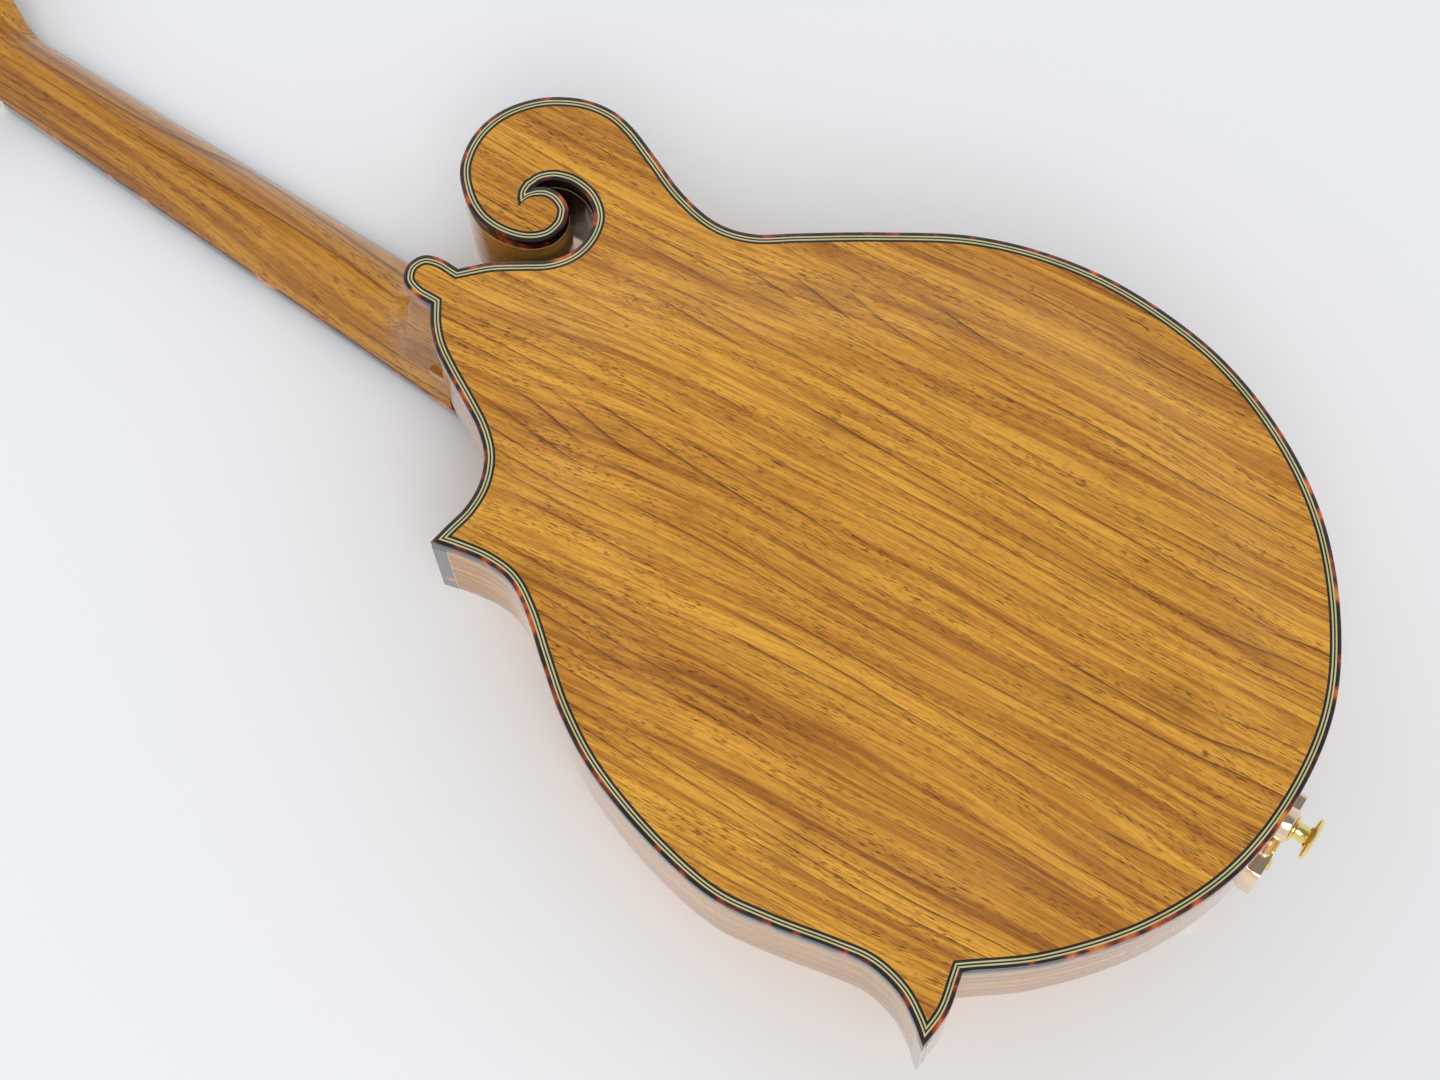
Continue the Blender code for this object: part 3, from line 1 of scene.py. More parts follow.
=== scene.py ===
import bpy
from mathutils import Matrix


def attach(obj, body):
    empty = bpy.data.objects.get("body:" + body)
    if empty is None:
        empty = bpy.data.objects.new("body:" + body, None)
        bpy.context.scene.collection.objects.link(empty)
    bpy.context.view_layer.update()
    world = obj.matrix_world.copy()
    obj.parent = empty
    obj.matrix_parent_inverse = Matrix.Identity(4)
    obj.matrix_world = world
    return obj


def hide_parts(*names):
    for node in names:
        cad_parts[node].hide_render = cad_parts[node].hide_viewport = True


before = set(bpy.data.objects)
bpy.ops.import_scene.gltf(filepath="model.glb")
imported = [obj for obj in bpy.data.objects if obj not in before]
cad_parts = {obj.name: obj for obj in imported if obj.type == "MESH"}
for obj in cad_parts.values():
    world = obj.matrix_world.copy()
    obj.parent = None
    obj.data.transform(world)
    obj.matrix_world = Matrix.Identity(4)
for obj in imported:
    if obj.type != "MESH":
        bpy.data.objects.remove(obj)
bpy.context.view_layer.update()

import math

import bpy
import numpy as np
from mathutils import Matrix, Vector

# Pieces are modelled in millimetres, in the frame of the body, the neck, the headstock or the
# tailpiece, and set down in metres when they are finished.
scale = {"mm": 0.001, "scaleLength": 352.4, "jointFret": 15, "frets": 24, "semitones": 12}
frameSizes = {
    "origin": (0.0028625, -0.2154755, 0.0827827), "bodyPitch": -4.6902,
    "neckY": 205.7, "neckZ": -62.5, "neckPitch": 4.3, "headY": 5.1, "headZ": 5.6, "headPitch": 14,
    "tailY": -128.4, "tailZ": -49.8, "tailPitch": -8,
}


def fromNut(fret):
    return scale["scaleLength"] * (1 - 2 ** (-fret / scale["semitones"]))


def frameAt(parent, y, z, pitch):
    return parent @ Matrix.Translation((0, y, z)) @ Matrix.Rotation(math.radians(pitch), 4, "X")


neckLength = fromNut(scale["jointFret"])
metres = Matrix.Translation(frameSizes["origin"]) @ Matrix.Scale(scale["mm"], 4)
bodyFrame = frameAt(metres, 0, 0, frameSizes["bodyPitch"])
neckFrame = frameAt(bodyFrame, frameSizes["neckY"], frameSizes["neckZ"], frameSizes["neckPitch"])
headFrame = frameAt(neckFrame, neckLength + frameSizes["headY"], frameSizes["headZ"], frameSizes["headPitch"])
tailFrame = frameAt(bodyFrame, frameSizes["tailY"], frameSizes["tailZ"], frameSizes["tailPitch"])

# the outlines, drawn in millimetres, on or close to the CAD's
drawn = {
    "bass": [
        (0, -128.4), (33, -124.3), (63, -110.3), (90, -89), (110, -62), (123.5, -30), (128.4, 5),
        (126, 35), (117, 64), (101, 91.5), (85, 115.5), (75.5, 129.5), (72.4, 143), (75.5, 159),
        (82, 174.5), (87.5, 188), (89.4, 199), (87, 211), (79.5, 223), (68, 231.5), (55, 234.3),
        (42, 231.3), (33, 223.5), (27.8, 214), (26.9, 204), (29.5, 194.5), (35, 188.3), (42, 186.6),
        (47.6, 188.5), (50.2, 191.3), (51.7, 195.5), (51.6, 199.2), (50.86, 201.4), (49.17, 203.9)],
    "slot": [
        (49.17, 203.9), (51.26, 203.35), (52.8, 202.4), (54.4, 200.7), (55.7, 198.4), (56.8, 193.4),
        (55.5, 186), (50.5, 179.8),
        (42.5, 177.5), (34.5, 179), (28, 183.8), (22.5, 191.5), (16.5, 200), (8.3, 208.2)],
    "button": [
        (8.3, 208.2), (8.3, 215.5), (5.9, 221.4), (0, 223.9), (-5.9, 221.4), (-8.3, 215.5), (-8.3, 208.2)],
    "shoulder": [
        (-8.3, 208.2), (-14.5, 203.8), (-20.5, 197.5), (-26, 188.5), (-31.5, 178), (-37.5, 167.5),
        (-44.5, 159.8), (-53.5, 155.4), (-63, 154.3), (-72, 155.7), (-79.6, 156.8)],
    "waist": [
        (-79.6, 156.8), (-77.3, 147.5), (-75.7, 137), (-76.8, 126.5), (-83, 115.5), (-94, 101.5),
        (-105.5, 86), (-116, 66.5), (-124.5, 40), (-129, 13), (-126.6, -8), (-121.8, -30),
        (-119.8, -42.5), (-122, -54.5), (-127, -63.5), (-132.4, -70.2)],
    "point": [(-132.4, -70.2), (-119, -71.2), (-105.5, -68.3)],
    "lower": [(-105.5, -68.3), (-88, -89.5), (-62, -110.5), (-32, -124.2), (0, -128.4)],
    "fHole": [(46, 98), (52, 92), (56, 78), (58, 58), (61, 38), (66, 24), (71, 17)],
    "head": [
        (14.4, 0), (15.6, 8), (18.4, 16), (23.4, 24.5), (31.5, 31.2), (38, 35), (34.5, 47), (31.5, 65),
        (31, 90),
        (33.5, 113), (38.5, 130), (40.5, 143), (36.5, 153), (28.5, 155.5), (22.5, 150.5), (22.5, 143),
        (16, 141), (7, 145), (0, 152), (-10, 161), (-23, 167), (-38, 168)],
    "headTreble": [
        (-38, 168), (-37, 155), (-33.5, 135), (-31.2, 112),
        (-31, 90), (-31.5, 65), (-34.5, 47), (-38, 35), (-31.5, 31.2), (-23.4, 24.5), (-18.4, 16), (-15.6, 8),
        (-14.4, 0)],
    "boardEnd": [
        (25, -51.6), (12, -51.8), (5, -53.2), (0, -56.5), (-3.5, -61), (-8, -64.5), (-14, -65.8), (-25, -66)],
}
bodySizes = {
    "rim": 43.0, "backArch": 12.0, "topArch": 16.0, "archRise": 50.0, "spreadX": 164.7, "spreadY": 250.3,
    "centreY": 21.8, "backThickness": 4.8, "topEdge": 2.5, "topMiddle": 4.4, "rib": 2.4,
    "binding": 1.5, "bindingHeight": 5.5, "widthShare": 0.9995, "fieldStep": 2.0,
    "fieldLow": (-140.0, -140.0), "fieldSize": (141, 192),
    "rubs": 10, "rubbed": (3, 9),
}


# past the slot's sharp tip the inlay's lines run on until they meet: their places at the binding's
# inner edge and at the outer edge of the last black line
tipPlaces = {
    "near": [(47.25, 203.44), (46.36, 204.14), (45.49, 204.73), (44.85, 205.16), (45.12, 205.31),
             (45.59, 205.51),
             (46.77, 205.74), (48.6, 205.7)],
    "far": [(44.95, 202.71), (43.45, 203.63), (41.62, 204.1), (39.59, 204.21), (41.91, 206.55),
            (44.63, 207.93),
            (46.68, 208.29), (49.22, 208.36)],
    "reach": (1.5, 4.0),
}
# a point beyond a run's end keeps the curve level through the tail
beyond = {"bass": ((-32, -124.2), None), "lower": (None, (33, -124.3))}


# how finely the outline is worked, and what counts as nothing
limits = {
    "fineSteps": 24, "turn": 2.4, "straight": 4.0, "least": 0.4, "block": 2000, "short": 1e-12, "level": 1e-9,
    "same": 1e-5, "atTip": 1e-3, "mitre": 0.25, "kept": 0.96, "merge": 1e-4, "easeAngle": 30,
}


# Points on a smooth curve through the drawn ones, closer where it bends more.
def smoothRun(points, before=None, after=None):
    places = [Vector(p) for p in points]
    knots = [Vector(before) if before else places[0] * 2 - places[1], *places,
             Vector(after) if after else places[-1] * 2 - places[-2]]
    fine = []
    steps = limits["fineSteps"]
    for a, b, c, d in zip(knots, knots[1:], knots[2:], knots[3:]):
        for k in range(steps):
            t = k / steps
            fine.append(0.5 * (2 * b + (c - a) * t + (2 * a - 5 * b + 4 * c - d) * t**2
                               + (3 * b - a - 3 * c + d) * t**3))
    fine.append(places[-1])
    kept = [fine[0]]
    turned = 0.0
    for before, here, after in zip(fine, fine[1:], fine[2:]):
        turned += abs(math.degrees((here - before).angle_signed(after - here)))
        run = (after - kept[-1]).length
        if run > limits["least"] and (turned > limits["turn"] or run > limits["straight"]):
            kept.append(here)
            turned = 0.0
    if (kept[-1] - fine[-1]).length < limits["least"]:
        kept.pop()
    return [tuple(p) for p in kept + [fine[-1]]]


runs = {name: smoothRun(points, *beyond.get(name, ())) for name, points in drawn.items()}
around = ["bass", "slot", "shoulder", "waist", "point", "lower"]
aroundBack = ["bass", "slot", "button", "shoulder", "waist", "point", "lower"]


def outlineLoop(names):
    loop = []
    starts = {}
    for name in names:
        if name == "slot":
            loop += [runs[name][0]] * (len(tipPlaces["near"]) - 1)
        starts[name] = len(loop)
        loop += runs[name][:-1]
        if name == "slot" and "button" not in names:
            loop.append(runs[name][-1])
    return np.array(loop) * (bodySizes["widthShare"], 1), starts


bodyLoop, bodyStarts = outlineLoop(around)
backLoop = outlineLoop(aroundBack)[0]
tips = np.array([drawn[name][0] for name in ("waist", "point", "button", "shoulder")])
slotTip = np.array(drawn["slot"][0]) * (bodySizes["widthShare"], 1)


# How far each point is from a closed outline, with a sign that is plus inside.
def edgeDistance(points, loop):
    points = np.asarray(points, float)
    ends = np.roll(loop, -1, axis=0)
    along = ends - loop
    lengths = np.maximum((along**2).sum(axis=1), limits["short"])
    result = np.empty(len(points))
    block, level = limits["block"], limits["level"]
    for first in range(0, len(points), block):
        part = points[first:first + block, None, :]
        share = np.clip(((part - loop) * along).sum(axis=2) / lengths, 0, 1)
        gap = part - loop - share[:, :, None] * along
        distance = np.sqrt((gap**2).sum(axis=2)).min(axis=1)
        crosses = (loop[:, 1] > part[:, :, 1]) != (ends[:, 1] > part[:, :, 1])
        rise = np.where(np.abs(along[:, 1]) < level, level, along[:, 1])
        at = loop[:, 0] + (part[:, :, 1] - loop[:, 1]) / rise * along[:, 0]
        inside = (crosses & (at > part[:, :, 0])).sum(axis=1) % 2
        result[first:first + block] = np.where(inside, distance, -distance)
    return result


# The mitred inward normal at each point of a run that has its inside on the left.
def inward(loop, closed=True):
    loop = np.asarray(loop, float)
    before, after = np.roll(loop, 1, axis=0), np.roll(loop, -1, axis=0)
    if not closed:
        before[0], after[-1] = 2 * loop[0] - loop[1], 2 * loop[-1] - loop[-2]
    into, out = loop - before, after - loop
    for i in range(len(loop)):
        if np.abs(into[i]).max() < limits["same"]:
            into[i] = into[i - 1]
        if np.abs(out[-1 - i]).max() < limits["same"]:
            out[-1 - i] = out[-i]
    into /= np.linalg.norm(into, axis=1)[:, None]
    out /= np.linalg.norm(out, axis=1)[:, None]
    mean = into + out
    mean /= np.linalg.norm(mean, axis=1)[:, None]
    mitre = 1 / np.maximum((mean * into).sum(axis=1), limits["mitre"])
    return np.stack([-mean[:, 1], mean[:, 0]], axis=1) * mitre[:, None]


def offset(loop, distance):
    return loop + inward(loop) * distance


# The outline moved inward. Near a sharp tip the points gather in the mitre.
def inset(loop, distance):
    moved = offset(loop, distance)
    for i in np.flatnonzero(edgeDistance(moved, loop) < limits["kept"] * distance):
        tip = tips[np.linalg.norm(tips - loop[i], axis=1).argmin()]
        at = np.linalg.norm(loop - tip, axis=1).argmin()
        moved[i] = loop[at] + inward(loop)[at] * distance
    first, last = tipPlaces["reach"]
    near, far = np.array(tipPlaces["near"]), np.array(tipPlaces["far"])
    at = np.linalg.norm(loop - slotTip, axis=1) < limits["atTip"]
    if distance < first:
        moved[at] = slotTip + (near - slotTip) * distance / first
    else:
        moved[at] = near + (far - near) * (distance - first) / (last - first)
    return moved


def ease(t):
    t = np.clip(t, 0, 1)
    return t * t * (3 - 2 * t)


# The rise of a carved plate from its edge, on a grid, with the creases of the distance rubbed out.
def makeField():
    step, (lowX, lowY), (wide, tall) = (bodySizes[k] for k in ("fieldStep", "fieldLow", "fieldSize"))
    xs, ys = np.meshgrid(lowX + step * np.arange(wide), lowY + step * np.arange(tall))
    distance = edgeDistance(np.stack([xs.ravel(), ys.ravel()], axis=1), bodyLoop).reshape(tall, wide)
    raw = ease(distance / bodySizes["archRise"])
    soft = raw
    for _ in range(bodySizes["rubs"]):
        for axis in (0, 1):
            soft = (np.roll(soft, 1, axis) + 2 * soft + np.roll(soft, -1, axis)) / 4
    start, length = bodySizes["rubbed"]
    inner = ease((distance - start) / length)
    return raw * (1 - inner) + soft * inner


field = makeField()


# The height of a carved plate over its edge, as a share of the full arch.
def archShare(points):
    points = np.asarray(points, float)
    step, low = bodySizes["fieldStep"], np.array(bodySizes["fieldLow"])
    at = np.clip((points - low) / step, 0, np.array(bodySizes["fieldSize"]) - 1.001)
    cell = at.astype(int)
    fx, fy = (at - cell).T
    cx, cy = cell.T
    rise = (field[cy, cx] * (1 - fx) * (1 - fy) + field[cy, cx + 1] * fx * (1 - fy)
            + field[cy + 1, cx] * (1 - fx) * fy + field[cy + 1, cx + 1] * fx * fy)
    reach = np.hypot(points[:, 0] / bodySizes["spreadX"],
                     (points[:, 1] - bodySizes["centreY"]) / bodySizes["spreadY"])
    return np.cos(math.pi / 2 * np.minimum(reach, 1)) * rise


def backZ(points):
    return bodySizes["backArch"] * archShare(points)


def topZ(points):
    return -bodySizes["rim"] - bodySizes["topArch"] * archShare(points)


# modelling
def deselect():
    if bpy.context.object and bpy.context.object.mode != "OBJECT":
        bpy.ops.object.mode_set(mode="OBJECT")
    bpy.ops.object.select_all(action="DESELECT")


def choose(piece):
    deselect()
    piece.select_set(True)
    bpy.context.view_layer.objects.active = piece


# Merges the seams, closes the ends and turns the faces outward.
def tidyMesh(piece, fill=True):
    choose(piece)
    bpy.ops.object.mode_set(mode="EDIT")
    bpy.ops.mesh.select_all(action="SELECT")
    bpy.ops.mesh.remove_doubles(threshold=limits["merge"])
    bpy.ops.mesh.delete_loose()
    if fill:
        bpy.ops.mesh.select_all(action="SELECT")
        bpy.ops.mesh.fill_holes(sides=0)
    bpy.ops.mesh.select_all(action="SELECT")
    bpy.ops.mesh.normals_make_consistent(inside=False)
    bpy.ops.object.mode_set(mode="OBJECT")


# gives the mesh just added its name and its points
def placePoints(name, points):
    piece = bpy.context.object
    piece.name = name
    piece.data.vertices.foreach_set("co", np.asarray(points, float).reshape(-1))
    piece.data.update()
    return piece


# one mesh operator on the whole of the piece at hand
def editAll(operator, **settings):
    bpy.ops.object.mode_set(mode="EDIT")
    bpy.ops.mesh.select_all(action="SELECT")
    operator(**settings)
    bpy.ops.object.mode_set(mode="OBJECT")


def thicken(piece, height):
    editAll(bpy.ops.mesh.extrude_region_move, TRANSFORM_OT_translate={"value": (0, 0, height)})
    tidyMesh(piece, False)


# the four corners of a straight band, in the order that sweeps, turns and cutters use
def fourCorners(near, far, start, end):
    return [(near, start), (far, start), (far, end), (near, end)]


# A grid laid round a row of closed rings. lengthwise gives the UV map its run and height.
def sweptPiece(name, rings, loop=False, lengthwise=None):
    rows = np.array(rings, float)
    rows = np.concatenate([rows, rows[:, :1]], axis=1)
    if loop:
        rows = np.concatenate([rows, rows[:1]])
    deselect()
    bpy.ops.mesh.primitive_grid_add(x_subdivisions=rows.shape[1] - 1, y_subdivisions=rows.shape[0] - 1,
                                    size=1)
    piece = placePoints(name, rows)
    if lengthwise is not None:
        corners = np.empty(len(piece.data.loops), np.int32)
        piece.data.loops.foreach_get("vertex_index", corners)
        run = np.repeat(lengthwise, rows.shape[1])[corners]
        flat = rows.reshape(-1, 3)[corners]
        uv = np.stack([run, flat[:, 2]], axis=1) * scale["mm"]
        piece.data.uv_layers[0].uv.foreach_set("vector", uv.astype(np.float32).reshape(-1))
    piece.data.update()
    tidyMesh(piece, not loop)
    return piece


# A flat piece cut to an outline, extruded to its thickness and eased along its edges.
def flatPiece(name, loop, low, high, edge=0.0, steps=2):
    loop = np.asarray(loop, float)
    deselect()
    bpy.ops.mesh.primitive_circle_add(vertices=len(loop), fill_type="NGON")
    piece = placePoints(name, np.column_stack([loop, np.full(len(loop), low)]))
    thicken(piece, high - low)
    if edge:
        easeEdges(piece, edge, steps)
    return piece


def easeEdges(piece, width, steps=2):
    modifier = piece.modifiers.new("eased", "BEVEL")
    modifier.width = width
    modifier.segments = steps
    modifier.limit_method = "ANGLE"
    modifier.angle_limit = math.radians(limits["easeAngle"])
    modifier.miter_outer = "MITER_ARC"
    applyModifiers(piece)


def applyModifiers(piece):
    choose(piece)
    for modifier in list(piece.modifiers):
        bpy.ops.object.modifier_apply(modifier=modifier.name)


axes = {"x": Matrix.Rotation(math.pi / 2, 4, "Y"), "y": Matrix.Rotation(-math.pi / 2, 4, "X"), "z": Matrix()}


# A turned piece: a drawn profile of (radius, height) points, spun round its axis.
def turnedPiece(name, profile, place=(0, 0, 0), axis="z", steps=48):
    deselect()
    bpy.ops.mesh.primitive_circle_add(vertices=len(profile), fill_type="NOTHING")
    piece = placePoints(name, [(r, 0, h) for r, h in profile])
    editAll(bpy.ops.mesh.spin, steps=steps, angle=2 * math.pi, center=(0, 0, 0), axis=(0, 0, 1))
    tidyMesh(piece, False)
    piece.data.transform(Matrix.Translation(place) @ axes[axis])
    return piece


def rodPiece(name, radius, low, high, place=(0, 0, 0), axis="z", steps=32):
    return turnedPiece(name, fourCorners(0, radius, low, high), place, axis, steps)


def combine(piece, other, operation="DIFFERENCE"):
    modifier = piece.modifiers.new("combined", "BOOLEAN")
    modifier.operation = operation
    modifier.solver = "EXACT"
    modifier.object = other
    applyModifiers(piece)
    bpy.data.objects.remove(other, do_unlink=True)


def joinPieces(name, parts):
    deselect()
    for part in parts:
        part.select_set(True)
    bpy.context.view_layer.objects.active = parts[0]
    if len(parts) > 1:
        bpy.ops.object.join()
    parts[0].name = name
    return parts[0]


def copyOf(piece, name, matrix):
    made = piece.copy()
    made.data = piece.data.copy()
    made.data.transform(matrix)
    made.name = name
    scene.collection.objects.link(made)
    return made


# Sets a piece down in its place and gives it its finish.
def finish(piece, place, look, body="root", nodes=(), smooth=30):
    piece.data.transform(place)
    if place.determinant() < 0:
        piece.data.flip_normals()
    choose(piece)
    bpy.ops.object.shade_smooth_by_angle(angle=math.radians(smooth))
    piece.data.materials.clear()
    piece.data.materials.append(looks[look])
    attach(piece, body)
    if nodes:
        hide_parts(*nodes)
    return piece


scene = bpy.context.scene
scene.view_settings.view_transform = "Standard"
print("outline and arch ready", len(bodyLoop), "points")


# materials
def addNode(tree, kind, inputs=None, **settings):
    node = tree.nodes.new("ShaderNode" + kind)
    for name, value in settings.items():
        setattr(node, name, value)
    for name, value in (inputs or {}).items():
        socket = node.inputs[name]
        if isinstance(value, bpy.types.NodeSocket):
            tree.links.new(value, socket)
        else:
            socket.default_value = value
    return node


def mathNode(tree, operation, *values, clamp=False):
    return addNode(tree, "Math", dict(enumerate(values)), operation=operation, use_clamp=clamp).outputs[0]


# noise, as its grey value or, with output "Color", as three values
def noiseNode(tree, vector, size, detail, rough=0.5, output="Fac"):
    return addNode(tree, "TexNoise", {"Vector": vector, "Scale": size, "Detail": detail,
                                      "Roughness": rough}).outputs[output]


def vectorNode(tree, operation, first, second):
    return addNode(tree, "VectorMath", {0: first, 1: second}, operation=operation).outputs[0]


def inMillimetres(tree, vector):
    return addNode(tree, "VectorMath", {0: vector, "Scale": 1 / scale["mm"]}, operation="SCALE").outputs[0]


def mixColour(tree, share, first, second):
    return addNode(tree, "Mix", {0: share, 6: first, 7: second}, data_type="RGBA").outputs[2]


def rampNode(tree, value, stops):
    node = addNode(tree, "ValToRGB", {"Fac": value})
    ramp = node.color_ramp
    while len(ramp.elements) < len(stops):
        ramp.elements.new(0.5)
    for element, (place, colour) in zip(ramp.elements, stops):
        element.position = place
        element.color = colour if isinstance(colour, tuple) else (colour, colour, colour, 1)
    return node.outputs[0]


def newGroup(name, inputs, outputs):
    tree = bpy.data.node_groups.new(name, "ShaderNodeTree")
    for title, (kind, value) in inputs.items():
        socket = tree.interface.new_socket(title, in_out="INPUT", socket_type="NodeSocket" + kind)
        if value is not None:
            socket.default_value = value
    for title, kind in outputs.items():
        tree.interface.new_socket(title, in_out="OUTPUT", socket_type="NodeSocket" + kind)
    return tree, tree.nodes.new("NodeGroupInput").outputs, tree.nodes.new("NodeGroupOutput").inputs


# Noise drawn out along Y: its sizes are in millimetres.
def stretched(tree, vector, across, along, deep, detail, rough=0.5):
    scaled = vectorNode(tree, "MULTIPLY", vector, (1 / across, 1 / along, 1 / deep))
    return noiseNode(tree, scaled, 1.0, detail, rough)


rosewood = {
    "Light": (0.77, 0.375, 0.045, 1), "Mid": (0.35, 0.102, 0.010, 1), "Dark": (0.080, 0.014, 0.003, 1),
    # noise: millimetres across, along and deep, detail, roughness
    "slow": (60, 210, 75, 1), "quick": (16, 75, 30, 1), "band": (13, 420, 60, 2),
    "streak": (2.4, 130, 16, 3, 0.6),
    "fine": (0.7, 46, 5, 2, 0.6), "smoke": (17, 46, 30, 3), "ring": (34, 380, 50, 0),
    "picked": (7, 150, 30, 2),
    "dashes": (0.36, 4.4, 1.2, 1), "crowd": (5, 50, 12, 1),
    # where a noise starts to show and where it is full
    "shown": {"band": (0.40, 0.64), "streak": (0.45, 0.63), "fine": (0.46, 0.64), "smoke": (0.60, 0.74),
              "picked": (0.44, 0.60), "dashes": (0.575, 0.64)},
    "crowdStops": [(0.35, 0.3), (0.65, 1.0)],
    # how far the grain wanders, how close the growth lines stand, how sharp and how even they are
    "wander": (20.0, 2.2), "rings": (0.2, 0.12, 4.2), "sharp": 9.0, "even": (0.78, 0.22), "bandShare": 0.42,
    "porous": 0.3,
}


# Grain that runs along Y: broad bands, streaks, growth lines and short open pores.
def makeRosewood():
    tones = {tone: ("Color", rosewood[tone]) for tone in ("Light", "Mid", "Dark")}
    tree, given, result = newGroup("rosewoodGrain",
                                   {"Vector": ("Vector", None), **tones, "Shift": ("Float", 0.0)},
                                   {"Colour": "Color", "Height": "Float"})

    def grain(name, vector):
        return stretched(tree, vector, *rosewood[name])

    def shown(name, vector):
        low, high = rosewood["shown"][name]
        return rampNode(tree, grain(name, vector), [(low, 0.0), (high, 1.0)])

    apart = addNode(tree, "CombineXYZ", {"Y": given["Shift"], "Z": given["Shift"]}).outputs[0]
    moved = vectorNode(tree, "ADD", inMillimetres(tree, given["Vector"]), apart)
    slowly, quickly = rosewood["wander"]
    wander = mathNode(tree, "MULTIPLY_ADD", grain("slow", moved), slowly,
                      mathNode(tree, "MULTIPLY", grain("quick", moved), quickly))
    bent = vectorNode(tree, "ADD", moved, addNode(tree, "CombineXYZ", {"X": wander}).outputs[0])
    band, streak, fine, picked, dashes = (
        shown(name, bent) for name in ("band", "streak", "fine", "picked", "dashes"))
    smoke = shown("smoke", moved)
    parts = addNode(tree, "SeparateXYZ", {0: bent}).outputs
    byX, byZ, byNoise = rosewood["rings"]
    ring = mathNode(tree, "MULTIPLY_ADD", parts["X"], byX, mathNode(tree, "MULTIPLY", parts["Z"], byZ))
    ring = mathNode(tree, "MULTIPLY_ADD", grain("ring", bent), byNoise, ring)
    line = mathNode(tree, "POWER", mathNode(tree, "FRACT", ring), rosewood["sharp"])
    line = mathNode(tree, "MULTIPLY", line, mathNode(tree, "MULTIPLY_ADD", picked, *rosewood["even"]))
    pores = mathNode(tree, "MULTIPLY", dashes, rampNode(tree, grain("crowd", bent), rosewood["crowdStops"]))
    colour = mixColour(tree, mathNode(tree, "MULTIPLY", band, rosewood["bandShare"]), given["Light"],
                       given["Mid"])
    for share, strength, tone in ((streak, 0.6, "Mid"), (fine, 0.5, "Mid"), (smoke, 0.28, "Dark"),
                                  (mathNode(tree, "MULTIPLY", streak, band), 0.28, "Dark"),
                                  (line, 1.0, "Dark"), (pores, 0.72, "Dark")):
        colour = mixColour(tree, mathNode(tree, "MULTIPLY", share, strength), colour, given[tone])
    tree.links.new(colour, result["Colour"])
    raised = mathNode(tree, "MULTIPLY", fine, rosewood["porous"])
    tree.links.new(mathNode(tree, "SUBTRACT", raised, pores), result["Height"])
    return tree


# noise: scale and detail; then the share of the small one, and what is taken off both
handledSizes = {"broad": (28.0, 4.0), "small": (900.0, 2.0), "share": 0.4, "middle": 0.7}


# Faint unevenness of a polished surface, from handling and dust.
def makeHandled():
    tree, given, result = newGroup(
        "handledSurface", {"Vector": ("Vector", None), "Plain": ("Float", 0.1), "Spread": ("Float", 0.05)},
        {"Roughness": "Float", "Height": "Float"})
    broad, small = (noiseNode(tree, given["Vector"], *handledSizes[name]) for name in ("broad", "small"))
    share = handledSizes["share"]
    both = mathNode(tree, "ADD", broad, mathNode(tree, "MULTIPLY", small, share))
    both = mathNode(tree, "SUBTRACT", both, handledSizes["middle"])
    rough = mathNode(tree, "MULTIPLY_ADD", both, given["Spread"], given["Plain"], clamp=True)
    tree.links.new(rough, result["Roughness"])
    tree.links.new(mathNode(tree, "MULTIPLY_ADD", small, share, broad), result["Height"])
    return tree


groups = {"rosewood": makeRosewood(), "handled": makeHandled()}


def useGroup(tree, group, inputs):
    return addNode(tree, "Group", inputs, node_tree=groups[group]).outputs


def newLook(name, **fixed):
    look = bpy.data.materials.new(name)
    look.use_nodes = True
    tree = look.node_tree
    shader = tree.nodes["Principled BSDF"]
    for title, value in fixed.items():
        shader.inputs[title.replace("_", " ")].default_value = value
    return look, tree, shader


# Object coordinates, or the piece's UV map, turned by the angles given.
def coordinates(tree, turn=(0.0, 0.0, 0.0), source="Object"):
    vector = addNode(tree, "TexCoord").outputs[source]
    return addNode(tree, "Mapping",
                   {"Vector": vector, "Rotation": tuple(math.radians(a) for a in turn)}).outputs[0]


# The shader's colour, and the roughness of a handled surface, whose height is handed back.
def dress(tree, shader, colour, vector, plain, spread):
    handled = useGroup(tree, "handled", {"Vector": vector, "Plain": plain, "Spread": spread})
    tree.links.new(colour, shader.inputs["Base Color"])
    tree.links.new(handled["Roughness"], shader.inputs["Roughness"])
    return handled["Height"]


def bumped(tree, shader, height, strength, distance=0.0001):
    bump = addNode(tree, "Bump", {"Height": height, "Strength": strength, "Distance": distance})
    tree.links.new(bump.outputs[0], shader.inputs["Normal"])


def woodLook(name, turn, source="Object", light=None, mid=None, dark=None, shift=0.0):
    look, tree, shader = newLook(name, Coat_Weight=1.0, Coat_Roughness=0.04, Coat_IOR=1.42,
                                 Specular_IOR_Level=0.1)
    vector = coordinates(tree, turn, source)
    given = {"Vector": vector, "Shift": shift}
    given.update({k: v for k, v in (("Light", light), ("Mid", mid), ("Dark", dark)) if v})
    grain = useGroup(tree, "rosewood", given)
    dress(tree, shader, grain["Colour"], vector, 0.36, 0.14)
    bumped(tree, shader, grain["Height"], 0.12)
    return look


